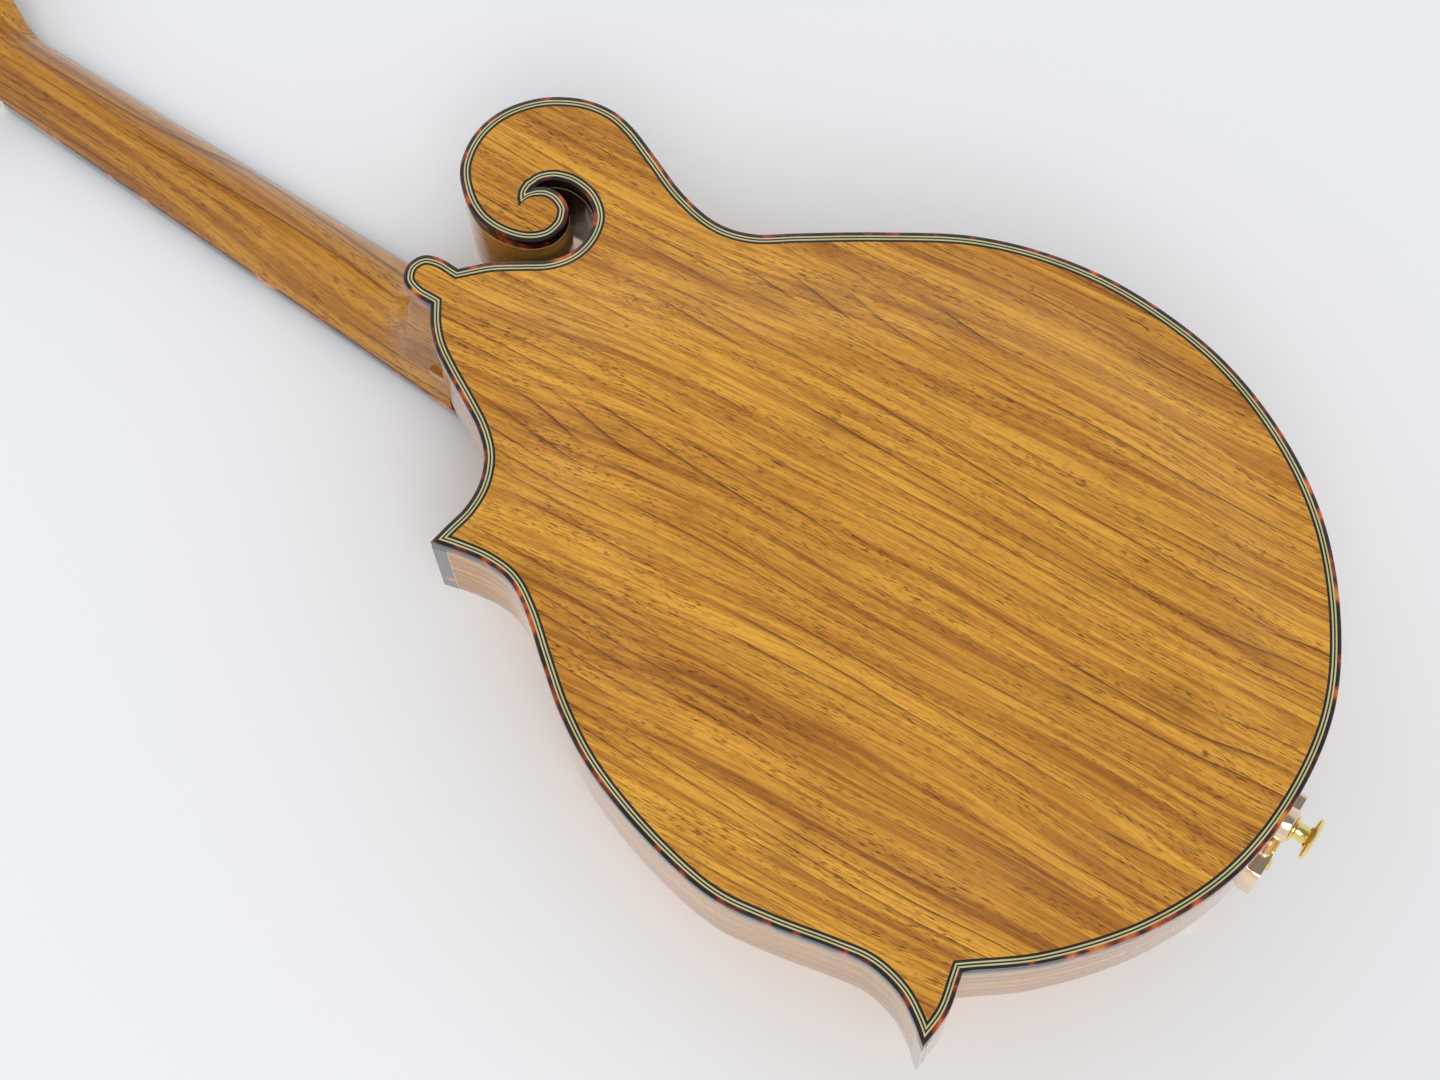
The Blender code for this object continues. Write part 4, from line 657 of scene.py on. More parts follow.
def tortoiseLook():
    look, tree, shader = newLook("tortoiseshell", Coat_Weight=1.0, Coat_Roughness=0.03, Roughness=0.22)
    vector = coordinates(tree)
    warp = noiseNode(tree, vector, 90.0, 3.0, output="Color")
    bent = addNode(tree, "VectorMath", {0: warp, "Scale": 0.006}, operation="SCALE").outputs[0]
    cloud = noiseNode(tree, vectorNode(tree, "ADD", vector, bent), 125.0, 2.0, 0.45)
    colour = rampNode(tree, cloud, [(0.46, (0.006, 0.003, 0.003, 1)), (0.54, (0.060, 0.006, 0.003, 1)),
                                    (0.60, (0.26, 0.028, 0.004, 1)), (0.67, (0.52, 0.10, 0.008, 1)),
                                    (0.77, (0.64, 0.27, 0.03, 1))])
    tree.links.new(colour, shader.inputs["Base Color"])
    bumped(tree, shader, cloud, 0.05, 0.0002)
    return look


# A finish of two close colours in a drawn-out cloud, with a handled surface.
def solidLook(name, colours, plain, spread, grainScale=60.0, along=1.0, bump=0.05, **fixed):
    look, tree, shader = newLook(name, **fixed)
    vector = coordinates(tree)
    cloud = noiseNode(tree, vectorNode(tree, "MULTIPLY", vector, (1, 1 / along, 1)), grainScale, 5.0, 0.6)
    colour = rampNode(tree, cloud, [(0.35, (*colours[0], 1)), (0.65, (*colours[1], 1))])
    bumped(tree, shader, dress(tree, shader, colour, vector, plain, spread), bump)
    return look


# Fine even growth lines along Y, with faint silk across them.
def spruceLook():
    look, tree, shader = newLook("amber spruce", Coat_Weight=1.0, Coat_Roughness=0.05)
    wide = inMillimetres(tree, coordinates(tree))
    wander = mathNode(tree, "MULTIPLY", stretched(tree, wide, 40, 220, 40, 1), 5.0)
    parts = addNode(tree, "SeparateXYZ", {0: wide})
    lines = mathNode(tree, "FRACT", mathNode(tree, "MULTIPLY_ADD", parts.outputs["X"], 0.85, wander))
    late = mathNode(tree, "POWER", lines, 4.0)
    silk = stretched(tree, wide, 5, 1.2, 9, 2)
    colour = mixColour(tree, mathNode(tree, "MULTIPLY", late, 0.62), (0.74, 0.42, 0.14, 1),
                       (0.42, 0.17, 0.035, 1))
    colour = mixColour(tree, mathNode(tree, "MULTIPLY", silk, 0.22), colour, (0.82, 0.52, 0.2, 1))
    dress(tree, shader, colour, coordinates(tree), 0.35, 0.15)
    bumped(tree, shader, late, 0.06)
    return look


# The winding of a wound string, as rings along the string's UV map, its colour darker in the grooves between
# the turns as painted shade.
def woundLook():
    look, tree, shader = newLook("bronze winding", Metallic=1.0)
    run = addNode(tree, "SeparateXYZ", {0: addNode(tree, "TexCoord").outputs["UV"]}).outputs["X"]
    turn = mathNode(tree, "SINE", mathNode(tree, "MULTIPLY", run, 2 * math.pi / 0.00035))
    # painted shade: the bronze darkens in each groove between the turns
    colour = mixColour(tree, mathNode(tree, "MULTIPLY_ADD", turn, 0.5, 0.5), (0.30, 0.15, 0.06, 1),
                       (0.66, 0.40, 0.2, 1))
    dress(tree, shader, colour, coordinates(tree), 0.32, 0.1)
    bumped(tree, shader, turn, 0.6, 0.00008)
    return look


looks = {
    "back": woodLook("golden rosewood back", (0, 0, -5)),
    "rib": woodLook("golden rosewood rib", (0, 0, 90), "UV", shift=70.0),
    # the rib in the scroll's slot: rosewood made nearly black, painted shade for the deep slot
    "slotRibPaintedShade": woodLook("slot rib darkened as painted shade", (0, 0, 90), "UV", (0.042, 0.020, 0.010, 1),
                        (0.024, 0.010, 0.006, 1), (0.008, 0.004, 0.003, 1), 30.0),
    "neck": woodLook("golden rosewood neck", (6, 0, 3), light=(0.64, 0.30, 0.030, 1),
                     mid=(0.33, 0.10, 0.009, 1), shift=160.0),
    "tortoise": tortoiseLook(),
    "cream": solidLook("cream purfling", ((0.50, 0.45, 0.20), (0.60, 0.54, 0.27)), 0.3, 0.1, Coat_Weight=0.6,
                       Coat_Roughness=0.05),
    "black": solidLook("black purfling", ((0.006, 0.006, 0.007), (0.016, 0.015, 0.016)), 0.25, 0.1,
                       Coat_Weight=0.6, Coat_Roughness=0.05),
    "spruce": spruceLook(),
    "ebony": solidLook("ebony", ((0.010, 0.008, 0.007), (0.028, 0.020, 0.016)), 0.38, 0.12, 40.0, 12.0, 0.12),
    "bone": solidLook("bone", ((0.72, 0.66, 0.50), (0.84, 0.79, 0.66)), 0.32, 0.12, 120.0, 3.0,
                      Coat_Weight=0.3),
    "pearl": solidLook("pearl", ((0.62, 0.64, 0.62), (0.88, 0.84, 0.80)), 0.18, 0.08, 260.0, 1.0,
                       Coat_Weight=0.8),
    "gold": solidLook("gold plate", ((0.88, 0.70, 0.24), (0.94, 0.77, 0.30)), 0.09, 0.05, bump=0.004,
                      Metallic=1.0),
    "rose": solidLook("rose gold plate", ((0.86, 0.64, 0.44), (0.92, 0.71, 0.51)), 0.10, 0.05, bump=0.004,
                      Metallic=1.0),
    "brass": solidLook("brass", ((0.72, 0.50, 0.20), (0.84, 0.62, 0.28)), 0.2, 0.1, bump=0.01, Metallic=1.0),
    "steel": solidLook("steel", ((0.52, 0.52, 0.53), (0.66, 0.66, 0.67)), 0.2, 0.08, bump=0.01, Metallic=1.0),
    "wound": woundLook(),
    "block": solidLook("block wood", ((0.50, 0.33, 0.17), (0.66, 0.46, 0.27)), 0.6, 0.15, 90.0, 14.0, 0.1),
}
print("materials ready", len(looks))

# camera, floor and light
cameraSizes = {
    "place": (-0.2739865, -0.2563341, 0.9135251), "lens": 65.956, "sensor": 36.0,
    "right": (0.55241, -0.832093, 0.049685), "down": (-0.78354, -0.538665, -0.309671),
    "forward": (0.28444, 0.132130, -0.949544),
}
cameraData = bpy.data.cameras.new("camera")
cameraData.lens = cameraSizes["lens"]
cameraData.sensor_width = cameraSizes["sensor"]
camera = bpy.data.objects.new("camera", cameraData)
turn = Matrix((cameraSizes["right"], [-v for v in cameraSizes["down"]],
               [-v for v in cameraSizes["forward"]])).transposed()
camera.matrix_world = Matrix.Translation(cameraSizes["place"]) @ turn.to_4x4()
scene.collection.objects.link(camera)
scene.camera = camera

floorSizes = {
    "size": 12.0, "height": -0.0004, "colour": (0.87, 0.875, 0.885), "roughness": 0.22, "coat": 0.25,
    "coatRoughness": 0.08, "cloud": (3.0, 3.0), "lighter": 1.02,
}
deselect()
bpy.ops.mesh.primitive_plane_add(size=floorSizes["size"], location=(0, 0, floorSizes["height"]))
floor = bpy.context.object
floor.name = "floor"
floorLook, floorTree, floorShader = newLook("pale floor", Roughness=floorSizes["roughness"],
                                            Coat_Weight=floorSizes["coat"],
                                            Coat_Roughness=floorSizes["coatRoughness"])
paper = noiseNode(floorTree, addNode(floorTree, "TexCoord").outputs["Object"], *floorSizes["cloud"])
floorColour = mixColour(floorTree, paper, (*floorSizes["colour"], 1),
                        (*(v * floorSizes["lighter"] for v in floorSizes["colour"]), 1))
floorTree.links.new(floorColour, floorShader.inputs["Base Color"])
seeThrough = addNode(floorTree, "BsdfTransparent")
oneSided = addNode(floorTree, "MixShader", {0: addNode(floorTree, "NewGeometry").outputs["Backfacing"]})
floorTree.links.new(floorShader.outputs[0], oneSided.inputs[1])
floorTree.links.new(seeThrough.outputs[0], oneSided.inputs[2])
floorTree.links.new(oneSided.outputs[0], floorTree.nodes["Material Output"].inputs[0])
floor.data.materials.append(floorLook)

lamps = {
    # name: place, aimed at, size, power
    "key": ((-1.05, -0.8, 2.0), (0, -0.05, 0), 1.3, 16.0),
    "fill": ((0.6, 1.9, 0.9), (0, 0, 0), 1.3, 8.0),
    "below": ((0.0, 0.0, -2.2), (0, 0, 0), 1.6, 14.0),
}
for name, (spot, target, size, power) in lamps.items():
    data = bpy.data.lights.new(name, "AREA")
    data.shape = "SQUARE"
    data.size = size
    data.energy = power
    lamp = bpy.data.objects.new(name, data)
    lamp.location = spot
    lamp.rotation_mode = "QUATERNION"
    lamp.rotation_quaternion = (Vector(target) - Vector(spot)).to_track_quat("-Z", "Y")
    scene.collection.objects.link(lamp)
    # only the key lamp is mirrored in the gloss of the back
    lamp.visible_glossy = name == "key"
    if name == "below":
        # this one shines through the floor, for views of the front
        lamp.light_linking.blocker_collection = bpy.data.collections.new("floorAlone")
        lamp.light_linking.blocker_collection.objects.link(floor)
        lamp.light_linking.blocker_collection.collection_objects[0].light_linking.link_state = "EXCLUDE"
# the gloss of the back mirrors a darker ceiling
sky = {"colour": (0.93, 0.96, 1.0, 1), "strength": 0.78, "ceiling": -0.5,
       "ceilingStops": [(0.62, 0.0), (0.9, 1.0)]}
world = bpy.data.worlds.new("studio")
world.use_nodes = True
backgroundNode = world.node_tree.nodes["Background"]
backgroundNode.inputs["Color"].default_value = sky["colour"]
worldTree = world.node_tree
upward = addNode(worldTree, "SeparateXYZ",
                 {0: addNode(worldTree, "TexCoord").outputs["Generated"]}).outputs["Z"]
ceiling = mathNode(worldTree, "MULTIPLY", rampNode(worldTree, upward, sky["ceilingStops"]),
                   addNode(worldTree, "LightPath").outputs["Is Glossy Ray"])
worldTree.links.new(mathNode(worldTree, "MULTIPLY_ADD", ceiling, sky["ceiling"], sky["strength"]),
                    backgroundNode.inputs["Strength"])
scene.world = world
print("camera, floor and light ready")


# the carved back, its binding and its purfling
plateSizes = {"step": 2.5, "margin": 4, "cutter": (-90, 60), "inBinding": 0.1}


# A carved plate: a grid pressed to the arch, given its thickness and cut to the outline.
def platePiece(name, loop, heights, thickness):
    low, high = loop.min(axis=0) - plateSizes["margin"], loop.max(axis=0) + plateSizes["margin"]
    wide, tall = (int(v) for v in np.ceil((high - low) / plateSizes["step"]))
    deselect()
    bpy.ops.mesh.primitive_grid_add(x_subdivisions=wide, y_subdivisions=tall, size=1)
    xs, ys = np.meshgrid(np.linspace(low[0], high[0], wide + 1), np.linspace(low[1], high[1], tall + 1))
    flat = np.stack([xs.ravel(), ys.ravel()], axis=1)
    piece = placePoints(name, np.column_stack([flat, heights(flat)]))
    thicken(piece, thickness)
    combine(piece, flatPiece("cutter", loop, *plateSizes["cutter"]), "INTERSECT")
    return piece


back = platePiece("carved_back", inset(backLoop, bodySizes["binding"] + plateSizes["inBinding"]), backZ,
                  -bodySizes["backThickness"])
finish(back, bodyFrame, "back", nodes=["back_plate"], smooth=40)
print("back ready", len(back.data.polygons))


# A thin ring of inlay that lies on a carved plate, between two insets from its outline.
def edgeStrip(name, loop, near, far, heights, rise, drop):
    inner, outer = inset(loop, far), inset(loop, near)
    rings = []
    for a, b, za, zb in zip(outer, inner, heights(outer), heights(inner)):
        rings.append([(*a, za + rise), (*b, zb + rise), (*b, zb + drop), (*a, za + drop)])
    return sweptPiece(name, rings, loop=True)


purfling = {"cream": ((1.5, 2.05), (2.6, 3.15)), "black": ((2.05, 2.6), (3.15, 4.0)), "rise": 0.04,
            "drop": -0.8}


# out is 1 on the back and -1 on the top
def layPurfling(side, loop, heights, out):
    for colour in ("cream", "black"):
        rows = [edgeStrip("strip", loop, near, far, heights, out * purfling["rise"], out * purfling["drop"])
                for near, far in purfling[colour]]
        finish(joinPieces(f"{side}_purfling_{colour}", rows), bodyFrame, colour)


layPurfling("back", backLoop, backZ, 1)


# A binding strip round the outline, with its outer edges eased by the amounts given.
def bindingPiece(name, loop, high, low, outerHigh, outerLow):
    thickness = bodySizes["binding"]
    profile = [(thickness, high), (outerHigh, high), (outerHigh * 0.3, high - outerHigh * 0.3),
               (0, high - outerHigh),
               (0, low + outerLow), (outerLow * 0.3, low + outerLow * 0.3), (outerLow, low), (thickness, low)]
    columns = [inset(loop, d) if d > 0.05 else loop for d, _ in profile]
    rings = [[(*column[i], z) for column, (_, z) in zip(columns, profile)] for i in range(len(loop))]
    return sweptPiece(name, rings, loop=True)


finish(bindingPiece("back_edge_binding", backLoop, 0.02, -bodySizes["bindingHeight"], 0.5, 0.05), bodyFrame,
       "tortoise",
       nodes=["back_binding"])
finish(bindingPiece("top_edge_binding", bodyLoop, bodySizes["topEdge"] - bodySizes["rim"], -bodySizes["rim"],
                    0.05, 0.5),
       bodyFrame, "tortoise", nodes=["top_binding"])


# ribs, the white line under the binding and the caps of the points
def ringsAlong(points, normals, profile):
    return [[(*(p + n * d), z) for d, z in profile] for p, n in zip(points, normals)]


def runStrip(name, points, normals, profile, lengthwise=True):
    points = np.asarray(points, float)
    run = np.concatenate([[0], np.cumsum(np.linalg.norm(np.diff(points, axis=0), axis=1))])
    return sweptPiece(name, ringsAlong(points, normals, profile), lengthwise=run if lengthwise else None)


bodyNormals = inward(bodyLoop)
ribHigh, ribLow = -bodySizes["bindingHeight"] - 0.05, bodySizes["topEdge"] - bodySizes["rim"] + 0.05
ribNames = {"bass": "rib_bass", "slot": "rib_slot", "shoulder": "rib_shoulder", "waist": "rib_waist",
            "point": "rib_lower"}
order = list(ribNames)
for index, name in enumerate(order):
    first = bodyStarts[name]
    last = bodyStarts[order[index + 1]] if index + 1 < len(order) else len(bodyLoop)
    last -= 1 if name == "slot" else 0
    at = [i % len(bodyLoop) for i in range(first, last + 1)]
    profile = fourCorners(0, bodySizes["rib"], ribHigh, ribLow)
    rib = runStrip(f"side_{name}", bodyLoop[at], bodyNormals[at], profile)
    # the slot's rib takes the rosewood darkened with painted shade
    finish(rib, bodyFrame, "slotRibPaintedShade" if name == "slot" else "rib", nodes=[ribNames[name]])

lineSizes = {"out": -0.03, "in": 1.2, "over": 0.06, "under": -0.4}
whiteLine = fourCorners(lineSizes["out"], lineSizes["in"], ribHigh + lineSizes["over"],
                        ribHigh + lineSizes["under"])
finish(sweptPiece("side_white_line", ringsAlong(bodyLoop, bodyNormals, whiteLine), loop=True), bodyFrame,
       "cream")


# The outline round a tip, as far as reach on both sides of it.
def cornerChain(loop, tip, reach):
    tipAt = loop[tip]
    sides = []
    for step in (-1, 1):
        side = []
        at = tip + step
        while np.linalg.norm(loop[at % len(loop)] - tipAt) < reach:
            side.append(loop[at % len(loop)])
            at += step
        inner, outer = side[-1] if side else tipAt, loop[at % len(loop)]
        share = (reach - np.linalg.norm(inner - tipAt)) / np.linalg.norm(outer - inner)
        side.append(inner + (outer - inner) * min(share, 1))
        sides.append(side)
    return np.array(sides[0][::-1] + [tipAt] + sides[1])


capTop = -bodySizes["bindingHeight"]
pointSizes = {
    # how far round the tip, then out, in, top and foot of the section
    "cap": (5.0, (0.5, -0.1, capTop, -42.6)), "line": (5.5, (0.5, -0.05, capTop - 0.1, -40.4)),
}
for name, run in (("upper", "waist"), ("lower", "point")):
    for kind, (reach, section) in pointSizes.items():
        chain = cornerChain(bodyLoop, bodyStarts[run], reach)
        strip = runStrip(f"{name}_point_{kind}", chain, inward(chain, closed=False), fourCorners(*section),
                         False)
        if kind == "cap":
            finish(strip, bodyFrame, "tortoise", nodes=[f"{name}_point_protector"])
        else:
            finish(strip, bodyFrame, "cream")
print("rim ready")

# the neck with its heel and the headstock
neckSizes = {
    "board": 5.6, "heelLength": 17.2, "heelHollow": 21.8, "backset": 12.0, "depthHeel": 17.0,
    "depthNut": 14.5,
    "buttonHalf": 8.0, "nutWidth": 28.6, "jointWidth": 38.8, "nutLength": 4.8, "margin": 0.2,
    "headThickness": 12.5, "postOffset": 19.0, "postFirst": 46.0, "postStep": 23.0, "postHole": 3.9,
    "sides": 40,
    "blend": (-9.0, 22.5), "plateFrom": 21.5, "corner": 0.7,
}
posts = [(side * neckSizes["postOffset"], neckSizes["postFirst"] + k * neckSizes["postStep"])
         for side in (1, -1) for k in range(4)]
headLoop = np.array(runs["head"][:-1] + runs["headTreble"])
headSide = np.array([p for p in runs["head"] if p[1] < 33])


def toNeckZ(along, bodyHeight):
    pitch = math.radians(frameSizes["neckPitch"])
    return (bodyHeight - frameSizes["neckZ"] - along * math.sin(pitch)) / math.cos(pitch)


def boardHalf(along):
    joint, nut = neckSizes["jointWidth"], neckSizes["nutWidth"]
    return (joint + (nut - joint) * along / neckLength) / 2


def softV(u):
    return 0.72 * max(math.cos(math.pi / 2 * u), 0) ** 0.75 + 0.28 * (1 - abs(u))


# A section of the neck: a soft V, or with heel at 1 the straight-sided heel.
def neckRing(y, high, heel):
    low, half = neckSizes["board"], neckSizes["buttonHalf"]
    wide = boardHalf(min(y, neckLength)) - neckSizes["margin"]
    ring = []
    for k in range(neckSizes["sides"] + 1):
        u = math.cos(math.pi * k / neckSizes["sides"])
        soft = softV(u)
        rise = min(1.0, (1 - abs(u)) / 0.6)
        narrow = half + (wide - half) * (1 - rise**0.8)
        flat = half * abs(u) / 0.4 if abs(u) < 0.4 else narrow
        x = heel * math.copysign(flat, u) + (1 - heel) * wide * u
        ring.append((x, y, low + (high - low) * (heel * rise + (1 - heel) * soft)))
    ring[0], ring[-1] = (wide, y, low), (-wide, y, low)
    return ring


# Sections from inside the body along the heel and its hollow to the nut.
def neckRings():
    heelTop = -bodySizes["bindingHeight"] - 0.05
    length, hollow = neckSizes["heelLength"], neckSizes["heelHollow"]
    rings = []
    for share in (0, 0.2, 0.36, 0.5, 0.62, 0.72, 0.8, 0.87, 0.93, 0.97):
        y = share * (length + neckSizes["backset"]) - neckSizes["backset"]
        rings.append(neckRing(y, toNeckZ(y, heelTop), 1.0))
    for degrees in (4, 8, 12, 18, 24, 30, 37, 44, 52, 60, 68, 76, 84, 90):
        a = math.radians(degrees)
        y = length + hollow * (1 - math.cos(a))
        depth = toNeckZ(y, heelTop)
        shaft = neckSizes["board"] + neckSizes["depthHeel"]
        rings.append(neckRing(y, depth + (shaft - depth) * math.sin(a), 1 - math.sin(a)))
    start = length + hollow
    for k in range(1, 25):
        y = start + (neckLength - 4.5 - start) * k / 24
        depth = neckSizes["depthHeel"] + (neckSizes["depthNut"] - neckSizes["depthHeel"]) * k / 24
        rings.append(neckRing(y, neckSizes["board"] + depth, 0.0))
    return rings + [blendRing(run) for run in np.linspace(*neckSizes["blend"], 28)]


blendSizes = {
    # from where past the nut, and over what length
    "tilt": (-9, 18), "flat": (-3, 22), "thin": (-1, 15),
    "sunkFrom": 20.5, "sunk": 0.03, "lip": 1.2, "lipAt": 2, "lipBefore": 4.5, "lipAfter": 2.2,
    "lipWidth": 0.3,
}


def blendShare(run, name):
    start, length = blendSizes[name]
    return (run - start) / length


# A section between the neck's soft V and the flat headstock, run millimetres past the nut.
def blendRing(run):
    pitch = math.radians(frameSizes["headPitch"])
    tilt = pitch * float(np.clip(blendShare(run, "tilt"), 0, 1))
    flat, thin = (float(ease(blendShare(run, name))) for name in ("flat", "thin"))
    low = blendSizes["sunk"] if run > blendSizes["sunkFrom"] else 0.0
    tall = neckSizes["depthNut"] + (neckSizes["headThickness"] - neckSizes["depthNut"]) * thin - low
    half = boardHalf(neckLength) - neckSizes["margin"] + 0.3 * (1 + run / 9)
    if run > 0:
        half = np.interp(run, headSide[:, 1], headSide[:, 0])
    half -= low
    foot = Vector((0, neckLength + frameSizes["headY"], neckSizes["board"]))
    foot += Vector((0, math.cos(pitch) * run, math.sin(pitch) * run)) if run > 0 else Vector((0, run, 0))
    up = Vector((0, -math.sin(tilt), math.cos(tilt)))
    away = run - blendSizes["lipAt"]
    lip = blendSizes["lip"] * math.exp(-((away / blendSizes["lipBefore" if away < 0 else "lipAfter"]) ** 2))
    ring = []
    for k in range(neckSizes["sides"] + 1):
        u = math.cos(math.pi * k / neckSizes["sides"])
        edge = max(neckSizes["corner"] - (1 - abs(u)) * half, 0)
        square = tall - neckSizes["corner"] + math.sqrt(neckSizes["corner"] ** 2 - edge**2)
        high = tall * (1 - flat) * softV(u) + flat * square
        high += lip * math.exp(-((u / blendSizes["lipWidth"]) ** 2))
        ring.append(foot + up * (low if k in (0, neckSizes["sides"]) else high) + Vector((u * half, 0, 0)))
    return [tuple(p) for p in ring]


def bodyFromHead(piece):
    piece.data.transform(bodyFrame.inverted() @ headFrame)
    return piece


neck = sweptPiece("carved_neck", neckRings())
neck.data.transform(bodyFrame.inverted() @ neckFrame)
combine(neck, flatPiece("cutter", offset(bodyLoop, -0.1), -60, 12))
headPlate = flatPiece("head", headLoop, 0, neckSizes["headThickness"], neckSizes["corner"], 3)
combine(headPlate, flatPiece("cutter", fourCorners(-60, 60, -20, neckSizes["plateFrom"]), -5, 20))
combine(neck, bodyFromHead(headPlate), "UNION")
riserRings = []
for along in (3.5, -15, -32.5, -50):
    y = frameSizes["neckY"] + along
    board = frameSizes["neckZ"] + along * math.sin(math.radians(frameSizes["neckPitch"])) + 5.7
    half = boardHalf(along) - 3
    foot = topZ([[half, y]])[0] + 2
    riserRings.append([(half, y, board), (half, y, foot), (-half, y, foot), (-half, y, board)])
combine(neck, sweptPiece("riser", riserRings), "UNION")
drills = [rodPiece("drill", neckSizes["postHole"], -10, 30, (x, y, 0), steps=24) for x, y in posts]
combine(neck, bodyFromHead(joinPieces("drills", drills)))
finish(neck, bodyFrame, "neck", nodes=["neck"], smooth=35)
print("neck ready")

# the fingerboard with its binding, frets and dots
boardSizes = {"thickness": 5.5, "extension": 67.0, "fretWidth": 1.8, "fretHeight": 1.0, "binding": 1.3,
              "dots": (3, 5, 7, 10, 12, 15)}


def fretPlace(number):
    return neckLength - fromNut(number)


boardEndLoop = [*runs["boardEnd"], (-25, -72), (25, -72)]


# The tapered board or its inlaid middle, with the scooped end over the body.
def boardPiece(name, margin, low, high, edge=0.0):
    end, nut = -boardSizes["extension"], neckLength - 0.1
    loop = [(boardHalf(end) - margin, end), (boardHalf(nut) - margin, nut),
            (margin - boardHalf(nut), nut), (margin - boardHalf(end), end)]
    piece = flatPiece(name, loop, low, high)
    combine(piece, flatPiece("cutter", np.array(boardEndLoop) + (0, margin), low - 3, high + 3))
    if edge:
        easeEdges(piece, edge)
    return piece


finish(boardPiece("board_binding", 0.0, 0.02, boardSizes["thickness"], 0.15), neckFrame, "tortoise")
finish(boardPiece("board", boardSizes["binding"], 0.0, 3.0), neckFrame, "ebony", nodes=["fingerboard"])


# A domed wire, with its ends sloped, across the board.
def fretPiece(name, number):
    y, half = fretPlace(number), boardHalf(fretPlace(number)) - 0.25
    rings = []
    for x, share in ((-half, 0.15), (-half + 0.7, 1.0), (half - 0.7, 1.0), (half, 0.15)):
        dome = [(math.cos(a), math.sin(a)) for a in np.linspace(0, math.pi, 9)]
        rings.append([(x, y + boardSizes["fretWidth"] / 2 * c,
                       0.02 - share * boardSizes["fretHeight"] * s) for c, s in dome]
                     + [(x, y - 0.3, 0.8), (x, y + 0.3, 0.8)])
    return sweptPiece(name, rings)


frets = joinPieces("fret_wires", [fretPiece("fret", n) for n in range(1, scale["frets"] + 1)])
combine(frets, flatPiece("cutter", np.array(boardEndLoop) + (0, 0.6), -5, 5))
finish(frets, neckFrame, "steel", smooth=40)
dots = []
for number in boardSizes["dots"]:
    y = (fretPlace(number) + fretPlace(number - 1)) / 2
    for x in ((-4.5, 4.5) if number == 12 else (0,)):
        dots.append(rodPiece("dot", 2.4, 1, -0.015, (x, y, 0)))
    for dy in ((-1.5, 1.5) if number == 12 else (0,)):
        dots.append(rodPiece("dot", 0.75, -1, 0.02, (boardHalf(y + dy), y + dy, 2.7), "x", 20))
finish(joinPieces("board_dots", dots), neckFrame, "pearl")

# the strings' places
stringSizes = {
    "radii": (0.508, 0.3302, 0.1905, 0.1397), "nut": (7.3, 2.3), "saddle": (11.5, 3.0), "hook": (8.3, 2.85),
    "saddleAt": -148.166, "action": 2.3, "slope": 0.0068104, "postOrder": (0, 1, 2, 3, 7, 6, 5, 4),
    "slack": 0.05, "bend": 1.6, "nutLift": 0.03, "saddleLift": 0.07, "turnsAt": -8.0, "turnRise": 2.05,
    "hookEnd": (19.3, -3.796), "loopAt": (18.3, -3.4), "loop": (1.35, 0.2),
    "wrap": ((19.6, -3.75), (23.0, -4.0), (26.0, -4.2)), "wrapOver": 0.25,
}


def coursePlaces(pitch, gap):
    return [(1.5 - course) * pitch + side * gap / 2 for course in range(4) for side in (1, -1)]


def stringRadius(index):
    return stringSizes["radii"][index // 2]


# Turns a piece drawn in X and Y upright, with its drawing in X and Z and its depth along -Y.
def standing(piece):
    piece.data.transform(Matrix.Rotation(math.pi / 2, 4, "X"))
    return piece


# Turns a piece drawn in X and Y so that its drawing is in Y and Z and its depth along X.
def sideways(piece):
    piece.data.transform(Matrix(((0, 0, 1, 0), (1, 0, 0, 0), (0, 1, 0, 0), (0, 0, 0, 1))))
    return piece


# Rods along Y that cut each string's slot, with the strings' outer sides level at the crest.
def slotDrills(places, crest, low, high):
    rods = []
    for index, x in enumerate(places):
        r = stringRadius(index)
        rods.append(rodPiece("slot", r + stringSizes["slack"], low, high, (x, 0, crest + r), "y", 16))
    return joinPieces("slots", rods)


def nutPiece():
    half, top = neckSizes["nutWidth"] / 2, -stringSizes["action"] + 0.3
    dome = [(half * math.cos(a), top + 0.5 - 0.5 * math.sin(a)) for a in np.linspace(0, math.pi, 15)]
    nut = standing(flatPiece("bone_nut", [*dome, (-half, 5.5), (half, 5.5)],
                             -neckLength - neckSizes["nutLength"], -neckLength, 0.35, 3))
    combine(nut, slotDrills(coursePlaces(*stringSizes["nut"]), -stringSizes["action"], 200, 212))
    return nut


finish(nutPiece(), neckFrame, "bone", nodes=["nut"])
print("fingerboard ready")

# the headstock's face
overlay = {"high": -0.1, "low": -1.6, "binding": 1.5, "line": 0.5}
outer, middle = headLoop, offset(headLoop, overlay["binding"])
inner = offset(headLoop, overlay["binding"] + overlay["line"])


def flatRing(name, outside, inside, low, high):
    rings = [[(*a, high), (*a, low), (*b, low), (*b, high)] for a, b in zip(outside, inside)]
    return sweptPiece(name, rings, loop=True)


finish(flatRing("head_binding", outer, middle, overlay["low"], overlay["high"]), headFrame, "tortoise")
finish(flatRing("head_line", middle, inner, overlay["low"], overlay["high"]), headFrame, "cream")
face = flatPiece("head_face", inner, overlay["low"], overlay["high"])
drills = [rodPiece("drill", 4.2, -10, 5, (x, y, 0)) for x, y in posts]
combine(face, joinPieces("drills", drills))
finish(face, headFrame, "ebony", nodes=["headstock_overlay"])
bushing = [(3.15, 0.5), (4.2, 0.5), (4.2, -1.6), (5.1, -1.62), (5.1, -1.9), (4.7, -2.3), (3.5, -2.4),
           (3.15, -2.2)]
finish(joinPieces("post_bushings", [turnedPiece("bushing", bushing, (x, y, 0)) for x, y in posts]), headFrame,
       "gold")
diamond = {"half": (4.5, 11), "centre": (-1, 84), "power": 1.8}


def drawnIn(value):
    return math.copysign(abs(value) ** diamond["power"], value)


